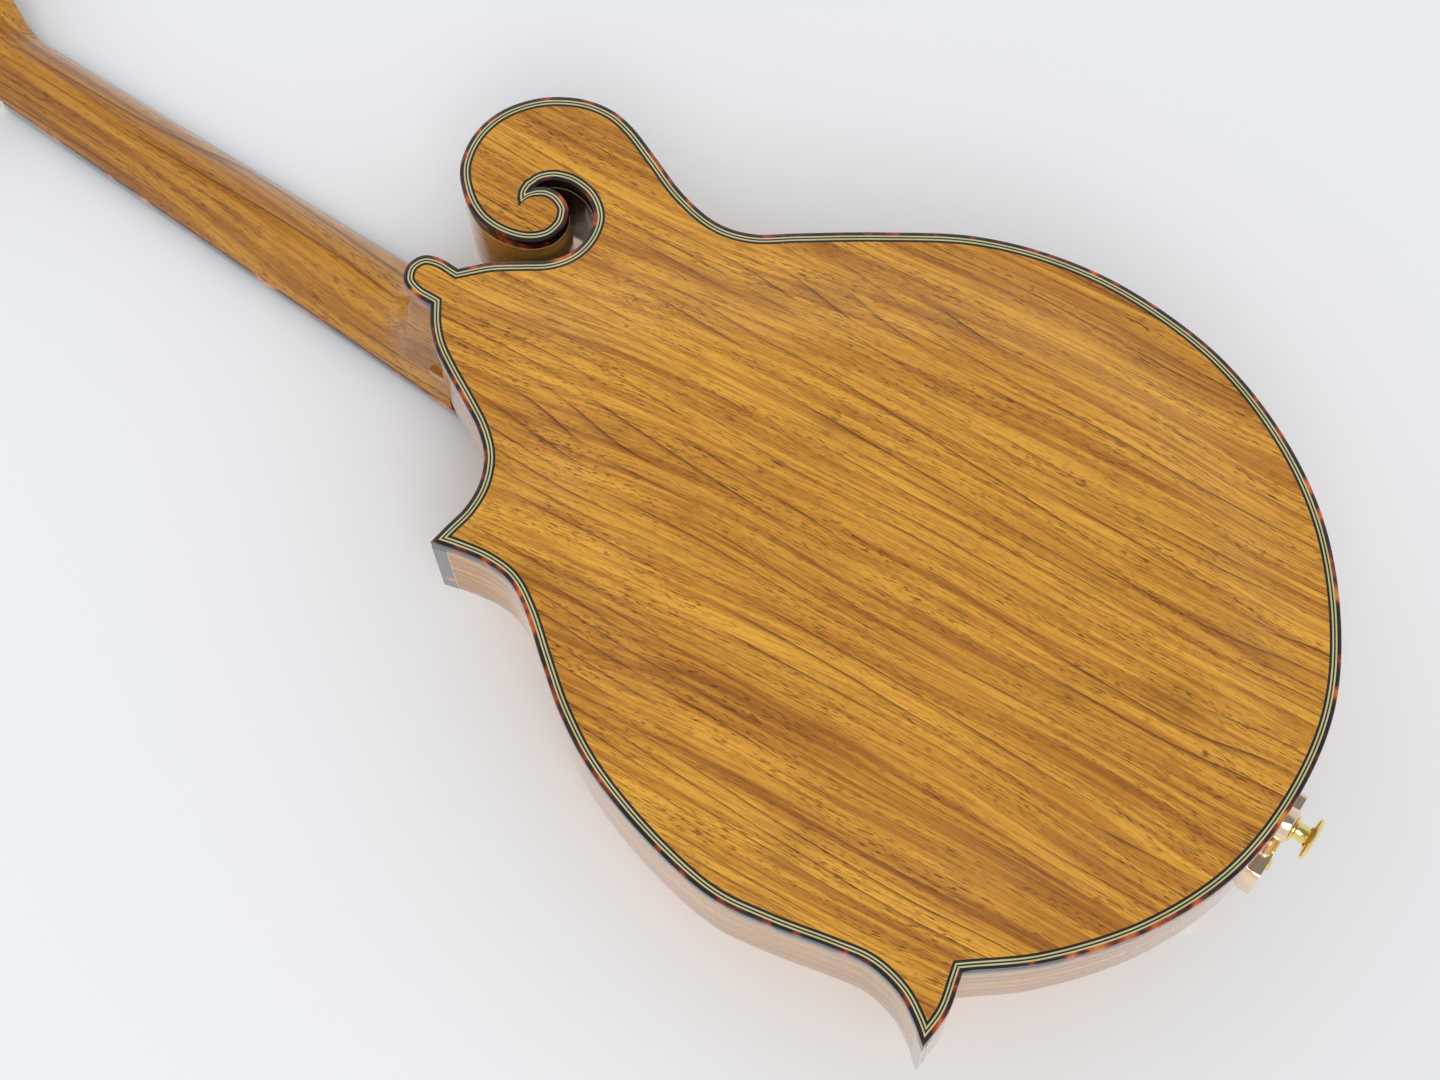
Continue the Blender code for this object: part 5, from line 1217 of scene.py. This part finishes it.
inlay = [(diamond["half"][0] * drawnIn(math.cos(a)) + diamond["centre"][0],
          diamond["half"][1] * drawnIn(math.sin(a)) + diamond["centre"][1])
         for a in np.linspace(0, 2 * math.pi, 48, False)]
finish(flatPiece("head_inlay", inlay, -1.62, -1.0), headFrame, "pearl")
rodCover = [(-9, 2), (9, 2), (8.2, 6), (6.6, 12), (6.2, 17), (5.4, 22), (3.2, 26), (0, 27), (-3.2, 26),
            (-5.4, 22), (-6.2, 17), (-6.6, 12), (-8.2, 6)]
finish(flatPiece("rod_cover", rodCover, -3.1, -1.65, 0.4, 3), headFrame, "black", nodes=["truss_rod_cover"])


# A round screw head with a slot. With flip at -1 its crown looks to lower values of the axis.
def screwPiece(name, place, radius, height, axis="z", flip=1):
    crown = [(0, 0), *((radius * math.cos(a), flip * height * math.sin(a))
                       for a in np.linspace(0, math.pi / 2, 9))]
    screw = turnedPiece(name, crown, steps=32)
    slot = flatPiece("slot", fourCorners(-radius, radius, -0.17 * radius, 0.17 * radius),
                     *sorted((flip * height * 0.55, flip * height * 2)))
    combine(screw, slot)
    screw.data.transform(Matrix.Translation(place) @ axes[axis])
    return screw


screws = [screwPiece("screw", (x, y, -3.1), 1.3, 0.5, flip=-1) for x,
          y in ((-5.8, 5.0), (5.8, 5.0), (0, 23.5))]
finish(joinPieces("rod_cover_screws", screws), headFrame, "brass")

# the tuners: two plates, eight worms with their buttons and eight posts with their gears
tunerSizes = {
    "wormGap": 6.4, "wormZ": 17.4, "plateLow": 12.6, "plate": 1.1, "plateWidth": 17.0, "plateLength": 92.0,
    "plateCorner": 3.0, "earPlace": 4.068, "ear": 1.5, "earReach": 2.4, "teeth": 14, "gearRadius": 4.4,
    "tooth": 0.7, "gear": 2.4, "wormRadius": 2.0, "turns": 2.5, "shaft": 1.25, "shaftEnd": 41.0,
    "buttonSeat": 3.0, "button": (13.0, 12.0, 7.0), "postRadius": 3.0, "postWaist": 2.5, "postEnd": -14.5,
}
wormPitch = 2 * math.pi * tunerSizes["gearRadius"] / tunerSizes["teeth"]


def roundedLoop(low, high, radius, steps=6):
    loop = []
    for cx, cy, start in ((high[0] - radius, high[1] - radius, 0), (low[0] + radius, high[1] - radius, 90),
                          (low[0] + radius, low[1] + radius, 180), (high[0] - radius, low[1] + radius, 270)):
        for k in range(steps + 1):
            a = math.radians(start + 90 * k / steps)
            loop.append((cx + radius * math.cos(a), cy + radius * math.sin(a)))
    return loop


def earPiece():
    reach, low = tunerSizes["earReach"], tunerSizes["plateLow"]
    top = [(reach * math.cos(a), tunerSizes["wormZ"] + reach * math.sin(a))
           for a in np.linspace(0, math.pi, 17)]
    foot = [(-reach, low + 2), (-reach - 0.8, low + 0.5)]
    ear = flatPiece("ear", [(reach + 0.8, low + 0.5), (reach, low + 2), *top, *foot],
                    -tunerSizes["ear"] / 2, tunerSizes["ear"] / 2, 0.2, 2)
    return sideways(ear)


ear = earPiece()
for side, name in ((1, "bass"), (-1, "treble")):
    lowX = side * (neckSizes["postOffset"] - 1) - tunerSizes["plateWidth"] / 2
    lowY = neckSizes["postFirst"] + 1.5 * neckSizes["postStep"]
    lowY = lowY - tunerSizes["wormGap"] / 2 - tunerSizes["plateLength"] / 2
    high = (lowX + tunerSizes["plateWidth"], lowY + tunerSizes["plateLength"])
    plate = flatPiece("plate", roundedLoop((lowX, lowY), high, tunerSizes["plateCorner"]),
                      tunerSizes["plateLow"],
                      tunerSizes["plateLow"] + tunerSizes["plate"], 0.3, 3)
    parts = [plate]
    for k in range(4):
        x, y = posts[k if side > 0 else 4 + k]
        for across in (-tunerSizes["earPlace"], tunerSizes["earPlace"]):
            parts.append(copyOf(ear, "ear", Matrix.Translation((x + across, y - tunerSizes["wormGap"], 0))))
    finish(joinPieces(f"tuner_plate_{name}_gold", parts), headFrame, "gold", nodes=[f"tuner_plate_{name}"])
    top = tunerSizes["plateLow"] + tunerSizes["plate"] - 0.05
    screws = [screwPiece("screw", (x, y, top), 1.35, 0.7) for x in (lowX + 2.4, high[0] - 2.4)
              for y in (lowY + 2.6, lowY + 29.5, lowY + 52.5, high[1] - 2.6)]
    finish(joinPieces(f"tuner_screws_{name}", screws), headFrame, "gold")
bpy.data.objects.remove(ear, do_unlink=True)


# A worm's thread along X, in step with the gear's teeth, on its shaft.
def wormPiece():
    root, tip = tunerSizes["shaft"] + 0.05, tunerSizes["wormRadius"] + tunerSizes["tooth"]
    steps = 80
    rings = []
    for k in range(steps + 1):
        turnShare = (k - steps / 2) / (steps / tunerSizes["turns"])
        a = 2 * math.pi * turnShare + math.pi
        fade = min(1.0, (k + 1) / 10, (steps - k + 1) / 10)
        reach = root + (tip - root) * fade
        ring = [(-0.32, 0.7), (-0.2, (root + reach) / 2 + 0.1), (-0.10, reach), (0.10, reach),
                (0.2, (root + reach) / 2 + 0.1), (0.32, 0.7)]
        rings.append([(wormPitch * (turnShare + dx), r * math.cos(a), r * math.sin(a)) for dx, r in ring])
    return sweptPiece("thread", rings)


def gearPiece():
    loop = []
    shape = ((-0.5, -1), (-0.37, -0.95), (-0.26, -0.1), (-0.15, 0.85), (-0.08, 1), (0.08, 1), (0.15, 0.85),
             (0.26, -0.1), (0.37, -0.95))
    for tooth in range(tunerSizes["teeth"]):
        for share, rise in shape:
            a = 2 * math.pi * (tooth + share) / tunerSizes["teeth"] - math.pi / 2
            r = tunerSizes["gearRadius"] + rise * tunerSizes["tooth"]
            loop.append((r * math.cos(a), r * math.sin(a)))
    low = tunerSizes["wormZ"] - tunerSizes["gear"] / 2
    return flatPiece("gear", loop, low, low + tunerSizes["gear"], 0.12, 1)


# The post with its waist for the string, a hole across it, its gear and the gear's screw.
def postPiece():
    radius, waist, end = tunerSizes["postRadius"], tunerSizes["postWaist"], tunerSizes["postEnd"]
    bow = [(waist + (radius - waist) * (2 * s - 1) ** 2, end + 0.9 + 7.1 * s) for s in np.linspace(0, 1, 15)]
    top = tunerSizes["wormZ"] + tunerSizes["gear"] / 2
    profile = [(0, end), (radius - 0.5, end), (radius - 0.1, end + 0.3), *bow, (radius, top), (0, top)]
    post = turnedPiece("post", profile, steps=40)
    combine(post, rodPiece("hole", 0.8, -8, 8, (0, 0, end + 4.2), "x", 16))
    return joinPieces("post", [post, gearPiece(), screwPiece("screw", (0, 0, top - 0.05), 2.3, 0.55)])


# An oval knob of pearl along +X from its seat.
def buttonPiece():
    length, width, depth = tunerSizes["button"]
    rings = []
    for along, radius in ((0, 0.28), (0.03, 0.42), (0.1, 0.62), (0.2, 0.82), (0.32, 0.92), (0.5, 0.96),
                          (0.68, 0.93),
                           (0.82, 0.83), (0.92, 0.66), (0.98, 0.42), (1.0, 0.2)):
        rings.append([(along * length, radius * width / 2 * math.cos(a), radius * depth / 2 * math.sin(a))
                      for a in np.linspace(0, 2 * math.pi, 32, False)])
    return sweptPiece("button", rings)


thread, post, button = wormPiece(), postPiece(), buttonPiece()
for index, (x, y) in enumerate(posts):
    side = 1 if x > 0 else -1
    seat = (x, y - tunerSizes["wormGap"], tunerSizes["wormZ"])
    inner = tunerSizes["earPlace"] + tunerSizes["ear"]
    outEnd = tunerSizes["shaftEnd"] - abs(x)
    radius = tunerSizes["shaft"]
    turnAbout = Matrix.Rotation(0 if side > 0 else math.pi, 4, "Z")
    profile = [(0, -inner), (radius, -inner), (radius, outEnd - 5), (2.1, outEnd - 4.6), (2.1, outEnd - 3.4),
               (1.7, outEnd - 2.8), (radius, outEnd), (0, outEnd)]
    shaft = turnedPiece("shaft", profile, axis="x", steps=32)
    shaft.data.transform(turnAbout)
    worm = joinPieces(f"worm_{index + 1}_brass", [copyOf(thread, "thread", Matrix()), shaft])
    worm.data.transform(Matrix.Translation(seat))
    finish(worm, headFrame, "brass", f"worm_{index + 1}", nodes=[f"tuner_worm_{index + 1}"])
    knob = copyOf(button, f"button_{index + 1}", Matrix.Translation(seat) @ turnAbout
                  @ Matrix.Translation((outEnd - tunerSizes["buttonSeat"], 0, 0)))
    finish(knob, headFrame, "pearl", f"worm_{index + 1}")
    made = copyOf(post, f"post_{index + 1}_brass", Matrix.Translation((x, y, 0)))
    finish(made, headFrame, "brass", f"post_{index + 1}", nodes=[f"tuner_post_{index + 1}"])
for pattern in (thread, post, button):
    bpy.data.objects.remove(pattern, do_unlink=True)
print("tuners ready")

# the carved top with its sound holes and purfling
topPlate = platePiece("carved_top", inset(bodyLoop, bodySizes["binding"] + plateSizes["inBinding"]), topZ,
                      bodySizes["topMiddle"])
holeSizes = {"width": 6.5, "eye": 3.8, "end": 5.0, "nick": 1.1}
centre = np.array(runs["fHole"])
along = np.gradient(centre, axis=0)
along /= np.linalg.norm(along, axis=1)[:, None]
across = np.stack([-along[:, 1], along[:, 0]], axis=1)
half = holeSizes["width"] / 2 * (0.35 + 0.65 * np.sin(np.linspace(0, math.pi, len(centre))))[:, None]
slotLoop = np.concatenate([centre + across * half, (centre - across * half)[::-1]])
middle = len(centre) // 2
nick = [centre[middle] + across[middle] * s + along[middle] * t for s,
        t in ((-4.6, 0), (0, -holeSizes["nick"]), (4.6, 0), (0, holeSizes["nick"]))]
circle = np.array([(math.cos(a), math.sin(a)) for a in np.linspace(0, 2 * math.pi, 48, False)])
eyes = [at + reach * circle for at, reach in ((centre[0], holeSizes["eye"]), (centre[-1], holeSizes["end"]))]
for side in (1, -1):
    for loop in (slotLoop, nick, *eyes):
        combine(topPlate, flatPiece("cutter", np.array(loop) * (side, 1), -64, -34))
finish(topPlate, bodyFrame, "spruce", nodes=["top_plate"], smooth=40)
layPurfling("top", bodyLoop, topZ, -1)
print("top ready")

# the bridge: a base on two feet, two studs with wheels, and the saddle
bridgeSizes = {
    "y": 57.951, "base": (59.0, 5.5), "endHeight": 4.0, "crown": -66.317, "relief": 1.5, "stud": 38.5,
    "studEnd": -74.3,
    "studRadius": 2.0, "saddleFoot": -70.117, "saddle": (53.0, 3.0, 7.6), "crest": 26.0, "wheel": (7.0, 1.7),
    "stringsAt": -78.296,
}


def basePiece():
    half, reach = bridgeSizes["base"][1], bridgeSizes["base"][0]
    rings = []
    for share in np.linspace(-1, 1, 61):
        x = share * reach
        seat = min(topZ([[x, bridgeSizes["y"] + dy]])[0] for dy in (-half, 0, half)) - 0.1
        seat -= bridgeSizes["relief"] * float(ease((0.34 - abs(share)) / 0.06))
        low = seat - bridgeSizes["endHeight"] + 1.2 * float(ease((abs(share) - 0.8) / 0.2))
        crown = low + (min(bridgeSizes["crown"], low) - low) * float(ease((0.78 - abs(share)) / 0.2))
        shape = ((1, seat), (1, seat + (crown - seat) * 0.25), (0.86, seat + (crown - seat) * 0.8),
                 (0.72, crown))
        rings.append([(x, bridgeSizes["y"] + half * s, z) for s, z in shape]
                     + [(x, bridgeSizes["y"] - half * s, z) for s, z in reversed(shape)])
    return sweptPiece("base", rings)


finish(basePiece(), bodyFrame, "ebony", nodes=["bridge_base"])
turnsOfStud = []
z = bridgeSizes["crown"] + 1
while z > bridgeSizes["studEnd"]:
    turnsOfStud += [(bridgeSizes["studRadius"], z), (bridgeSizes["studRadius"] - 0.25, z - 0.3)]
    z -= 0.6
studs = [turnedPiece("stud", [(0, bridgeSizes["crown"] + 1), *turnsOfStud, (1.2, z), (0, z)],
                     (side * bridgeSizes["stud"], bridgeSizes["y"], 0), steps=32)
         for side in (1, -1)]
finish(joinPieces("bridge_studs", studs), bodyFrame, "gold")


# The saddle, with wings that curl over the wheels and a stepped crest for the four courses.
def saddlePiece():
    wide, thick, tall = bridgeSizes["saddle"]
    foot, y = bridgeSizes["saddleFoot"], bridgeSizes["y"]
    half = bridgeSizes["crest"]
    wing = [(wide, 0), (wide, -2.2), (wide - 1.2, -3.6), (wide - 4, -4.3), (wide - 9, -4.7),
            (wide - 15, -5.2),
            (wide - 20, -5.9), (half + 2, -6.6), (half, -tall + 0.6)]
    loop = wing + [(-x, z) for x, z in reversed(wing)]
    saddle = standing(flatPiece("saddle", [(x, foot + z) for x, z in loop], -y - thick, -y + thick, 0.45, 3))
    crest = bridgeSizes["stringsAt"] + 0.3
    for course, shift in enumerate((-1.1, 0.3, -0.6, 1.1)):
        x = (1.5 - course) * stringSizes["saddle"][0]
        rings = []
        for end in (-1, 1):
            ridge = [(-2.6, foot - tall + 1.5), (-0.6 + shift, crest + 0.25), (shift, crest),
                     (0.6 + shift, crest + 0.25), (2.6, foot - tall + 1.5)]
            rings.append([(x + end * stringSizes["saddle"][0] / 2, y + dy, z) for dy, z in ridge])
        combine(saddle, sweptPiece("ridge", rings), "UNION")
    combine(saddle, slotDrills(coursePlaces(*stringSizes["saddle"]), bridgeSizes["stringsAt"], y - 9, y + 9))
    for side in (1, -1):
        combine(saddle, rodPiece("hole", 2.2, -80, -60, (side * bridgeSizes["stud"], y, 0)))
    return saddle


finish(saddlePiece(), bodyFrame, "ebony", "saddle", nodes=["bridge_saddle"])
radius, thick = bridgeSizes["wheel"]
knurls = [(radius - 0.22 * (k % 2), math.pi * k / 45) for k in range(90)]
knurl = [(r * math.cos(a), r * math.sin(a)) for r, a in knurls]
for side, name in ((1, "bass"), (-1, "treble")):
    wheel = flatPiece("wheel", knurl, bridgeSizes["saddleFoot"] + 0.3,
                      bridgeSizes["saddleFoot"] + 0.3 + thick)
    hub = turnedPiece("hub", [(2.1, 0.05), (3.6, 0.05), (3.6, 0.25), (2.1, 0.3)],
                      (0, 0, bridgeSizes["saddleFoot"] + thick + 0.2))
    wheel = joinPieces(f"wheel_{name}", [wheel, hub])
    finish(wheel, bodyFrame @ Matrix.Translation((side * bridgeSizes["stud"], bridgeSizes["y"], 0)), "gold",
           f"wheel_{name}",
           nodes=[f"thumbwheel_{name}"])
print("bridge ready")

# the tailpiece with its cover, the end pin and the strap button
tailSizes = {
    "face": -128.7, "flange": (17.3, 3.2), "foot": -38.0, "low": -59.3, "corner": 2.0, "wide": 19.5,
    "thickness": 1.6,
    "straight": 65.0, "nose": 79.0, "taper": 1.6, "coverStart": 7.0, "coverEnd": 84.0, "coverNose": 14.0,
    "coverHeight": 9.5, "shoulder": 2.2, "crown": 0.8, "wall": 1.2, "hookAt": (17.0, 19.0),
    "hookWidth": 1.4, "bar": 1.0, "screw": (-9.0, -44.0, 2.6, 1.5), "pinDepth": 24.5,
}
flangeLoop = roundedLoop((-tailSizes["flange"][0], tailSizes["low"] - 4),
                         (tailSizes["flange"][0], tailSizes["foot"]), tailSizes["corner"], 8)
flangeLoop = [(x, max(z, tailSizes["low"])) for x, z in flangeLoop]
flange = standing(flatPiece("flange", flangeLoop, -tailSizes["face"] - 2,
                            -tailSizes["face"] + tailSizes["flange"][1], 0.5, 3))
finish(flange, bodyFrame, "rose")
plan = [(-14.8, -1.6), (14.8, -1.6), (16.6, 1.5), (18.6, 5.5), (tailSizes["wide"], 10),
        (tailSizes["wide"], tailSizes["straight"]),
        (tailSizes["wide"] - tailSizes["taper"], tailSizes["nose"]),
        (tailSizes["taper"] - tailSizes["wide"], tailSizes["nose"]),
        (-tailSizes["wide"], tailSizes["straight"]), (-tailSizes["wide"], 10), (-18.6, 5.5), (-16.6, 1.5)]
hookPlaces = coursePlaces(*stringSizes["hook"])
parts = [flatPiece("floor", plan, -tailSizes["thickness"], 0, 0.25, 2)]
bar = -tailSizes["thickness"] - tailSizes["bar"]
first, last = tailSizes["hookAt"]
parts.append(flatPiece("bar", roundedLoop((-hookPlaces[0] - 2.5, first), (hookPlaces[0] + 2.5, last), 0.6, 3),
                       bar, -1, 0.2))
hookLoop = [(0, -1.5), (0, -4.6), (-0.3, -5.0), (-0.9, -5.2), (-2.6, -5.2), (-3.0, -4.9), (-2.6, -4.6),
            (-1.3, -4.3), (-1.2, -1.5)]
hook = sideways(flatPiece("hook", [(last + dy, z) for dy, z in hookLoop], -tailSizes["hookWidth"] / 2,
                          tailSizes["hookWidth"] / 2, 0.12, 2))
parts += [copyOf(hook, "hook", Matrix.Translation((x, 0, 0))) for x in hookPlaces]
bpy.data.objects.remove(hook, do_unlink=True)
finish(joinPieces("tailpiece_floor", parts), tailFrame, "rose", nodes=["tailpiece_base"])


# The cover's section: two walls with round shoulders, and a crowned roof.
def coverSection(inner, drop=0.0):
    wall, soft = tailSizes["wall"], tailSizes["shoulder"]
    roof = drop - tailSizes["coverHeight"]

    def half(edge, depth, radius):
        arc = [(edge - radius + radius * math.cos(a),
                depth + radius - radius * math.sin(a)) for a in np.linspace(0, math.pi / 2, 7)]
        flat = [(share * (edge - radius), depth - tailSizes["crown"] * (1 - share**2))
                for share in (0.75, 0.5, 0.25)]
        return [(edge, 0), *arc, *flat]

    outside = half(inner + wall, roof, soft)
    inside = half(inner, roof + wall, soft - 0.8)
    full = outside + [(0, roof - tailSizes["crown"])] + [(-x, z) for x, z in reversed(outside)]
    lining = inside + [(0, roof + wall - tailSizes["crown"])] + [(-x, z) for x, z in reversed(inside)]
    return full + lining[::-1]


inner = tailSizes["wide"] + 0.3
rings = []
length, nose = tailSizes["coverEnd"] - tailSizes["coverStart"], tailSizes["coverNose"]
for at in [0, 0.4, 20, 40,
           length - nose] + [length - nose + nose * s for s in (0.2, 0.4, 0.6, 0.8, 0.95, 1.0)]:
    share = max(0.0, (at - (length - nose)) / nose)
    taper = tailSizes["taper"] * share**1.8
    drop = 0.25 if at in (0, length) else 0.0
    rings.append([(x, tailSizes["coverStart"] + at, z) for x, z in coverSection(inner - taper, drop)])
finish(sweptPiece("cover", rings), tailFrame, "rose", "cover", nodes=["tailpiece_cover"], smooth=35)
screwX, screwZ, screwRadius, screwHeight = tailSizes["screw"]
screw = screwPiece("flange_screw", (screwX, tailSizes["face"] - tailSizes["flange"][1] + 0.1, screwZ),
                   screwRadius, screwHeight, "y", -1)
finish(screw, bodyFrame, "gold", nodes=["tailpiece_screw"])
pin = (0, frameSizes["tailY"], -tailSizes["pinDepth"])
collar = [(0, -0.2), (6.1, -0.2), (6.1, -3.1), (5.9, -3.6), (5.4, -4.0), (3.0, -4.0), (0, -3.9)]
finish(turnedPiece("pin_collar", collar, pin, "y", 64), bodyFrame, "rose", nodes=["end_pin_collar"])
strapButton = [(0, 14), (2, 14), (2, -4.0), (4.9, -4.0), (5.0, -4.3), (4.9, -4.75), (4.0, -4.95),
               (3.3, -5.15), (3.1, -5.6), (3.1, -8.6),
               (3.25, -9.2), (3.7, -9.65), (4.7, -9.95), (6.4, -10.15), (7.3, -10.35), (7.7, -10.75),
               (7.75, -11.2), (7.55, -11.65),
               (6.8, -12.0), (5.2, -12.35), (3.2, -12.55), (0, -12.6)]
finish(turnedPiece("pin_button", strapButton, pin, "y", 64), bodyFrame, "gold", nodes=["strap_button"])
print("tail ready")


# the strings with their loops and the turns round their posts
# A wire along a path, its UV map counting the length.
def tubePiece(name, path, radius, sides=10):
    path = np.array(path, float)
    along = np.gradient(path, axis=0)
    along /= np.linalg.norm(along, axis=1)[:, None]
    run = np.concatenate([[0], np.cumsum(np.linalg.norm(np.diff(path, axis=0), axis=1))])
    rings = []
    side = np.cross(along[0], (0.3, 0.1, 1.0))
    for point, direction in zip(path, along):
        side = side - direction * side.dot(direction)
        side /= np.linalg.norm(side)
        other = np.cross(direction, side)
        rings.append([tuple(point + radius * (side * math.cos(a) + other * math.sin(a)))
                      for a in np.linspace(0, 2 * math.pi, sides, False)])
    return sweptPiece(name, rings, lengthwise=run)


# The path with each corner rounded.
def bentPath(points):
    path = [points[0]]
    for before, here, after in zip(points, points[1:], points[2:]):
        near = min(stringSizes["bend"], (here - before).length / 3, (after - here).length / 3)
        a, b = here + (before - here).normalized() * near, here + (after - here).normalized() * near
        path += [a.lerp(here, t).lerp(here.lerp(b, t), t) for t in (0, 0.25, 0.5, 0.75, 1)]
    return [tuple(p) for p in path + [points[-1]]]


def stringHeight(along):
    return stringSizes["action"] + stringSizes["slope"] * (neckLength - along)


bodyHome = bodyFrame.inverted()
hooks, saddles, nuts = (coursePlaces(*stringSizes[k]) for k in ("hook", "saddle", "nut"))
for index, order in enumerate(stringSizes["postOrder"]):
    radius = stringRadius(index)
    postX, postY = posts[order]
    side = math.copysign(1, postX)
    nutAt = Vector((nuts[index], neckLength, radius + stringSizes["nutLift"] - stringHeight(neckLength)))
    saddleY = stringSizes["saddleAt"]
    saddleTop = Vector((saddles[index], saddleY, radius + stringSizes["saddleLift"] - stringHeight(saddleY)))
    beside = side * (abs(postX) - tunerSizes["postRadius"] - radius - 0.3)
    corners = [
        bodyHome @ tailFrame @ Vector((hooks[index], *stringSizes["hookEnd"])),
        bodyHome @ neckFrame @ saddleTop, bodyHome @ neckFrame @ nutAt,
        bodyHome @ neckFrame @ (nutAt + Vector((0, neckSizes["nutLength"], 0.15))),
        bodyHome @ headFrame @ Vector((beside, postY + 1.5, stringSizes["turnsAt"]))]
    look = "wound" if index < 4 else "steel"
    finish(tubePiece(f"string_{index + 1}_wire", bentPath(corners), radius * 0.96), bodyFrame, look,
           nodes=[f"string_{index + 1}"])
    turnCount, steps = 3 + index % 2, 24
    path = []
    for k in range(turnCount * steps + 1):
        share = k / steps
        settle = float(ease(share / 0.35))
        angle = math.pi + 0.45 - 2 * math.pi * share
        spare = tunerSizes["postRadius"] + 0.2 - tunerSizes["postWaist"]
        reach = tunerSizes["postWaist"] + radius + 0.1 + (1 - settle) * spare
        path.append((postX + side * reach * math.cos(angle), postY - reach * math.sin(angle),
                     stringSizes["turnsAt"] - stringSizes["turnRise"] * radius * share - 0.1))
    turns = tubePiece(f"string_{index + 1}_turns", path, radius, 8)
    finish(turns, headFrame, look, f"post_{order + 1}", smooth=50)
    deselect()
    bpy.ops.mesh.primitive_torus_add(major_radius=stringSizes["loop"][0], minor_radius=stringSizes["loop"][1],
                                     major_segments=24, minor_segments=8)
    ring = bpy.context.object
    ring.name = f"string_{index + 1}_loop"
    ring.data.transform(Matrix.Translation((hooks[index], *stringSizes["loopAt"])))
    wrap = tubePiece("wrap", [(hooks[index], y, z) for y, z in stringSizes["wrap"]],
                     radius + stringSizes["wrapOver"], 10)
    finish(joinPieces(ring.name, [ring, wrap]), tailFrame, look)
print("strings ready")

# the CAD's own solids inside the body, with their wood and steel
for name, look in (
        ("back_lining", "block"), ("top_lining", "block"), ("head_block", "block"), ("tail_block", "block"),
        ("upper_point_block", "block"), ("lower_point_block", "block"), ("tone_bar_bass", "spruce"),
        ("tone_bar_treble", "spruce"), ("truss_rod", "steel")):
    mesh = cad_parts[name].data
    mesh.materials.clear()
    mesh.materials.append(looks[look])
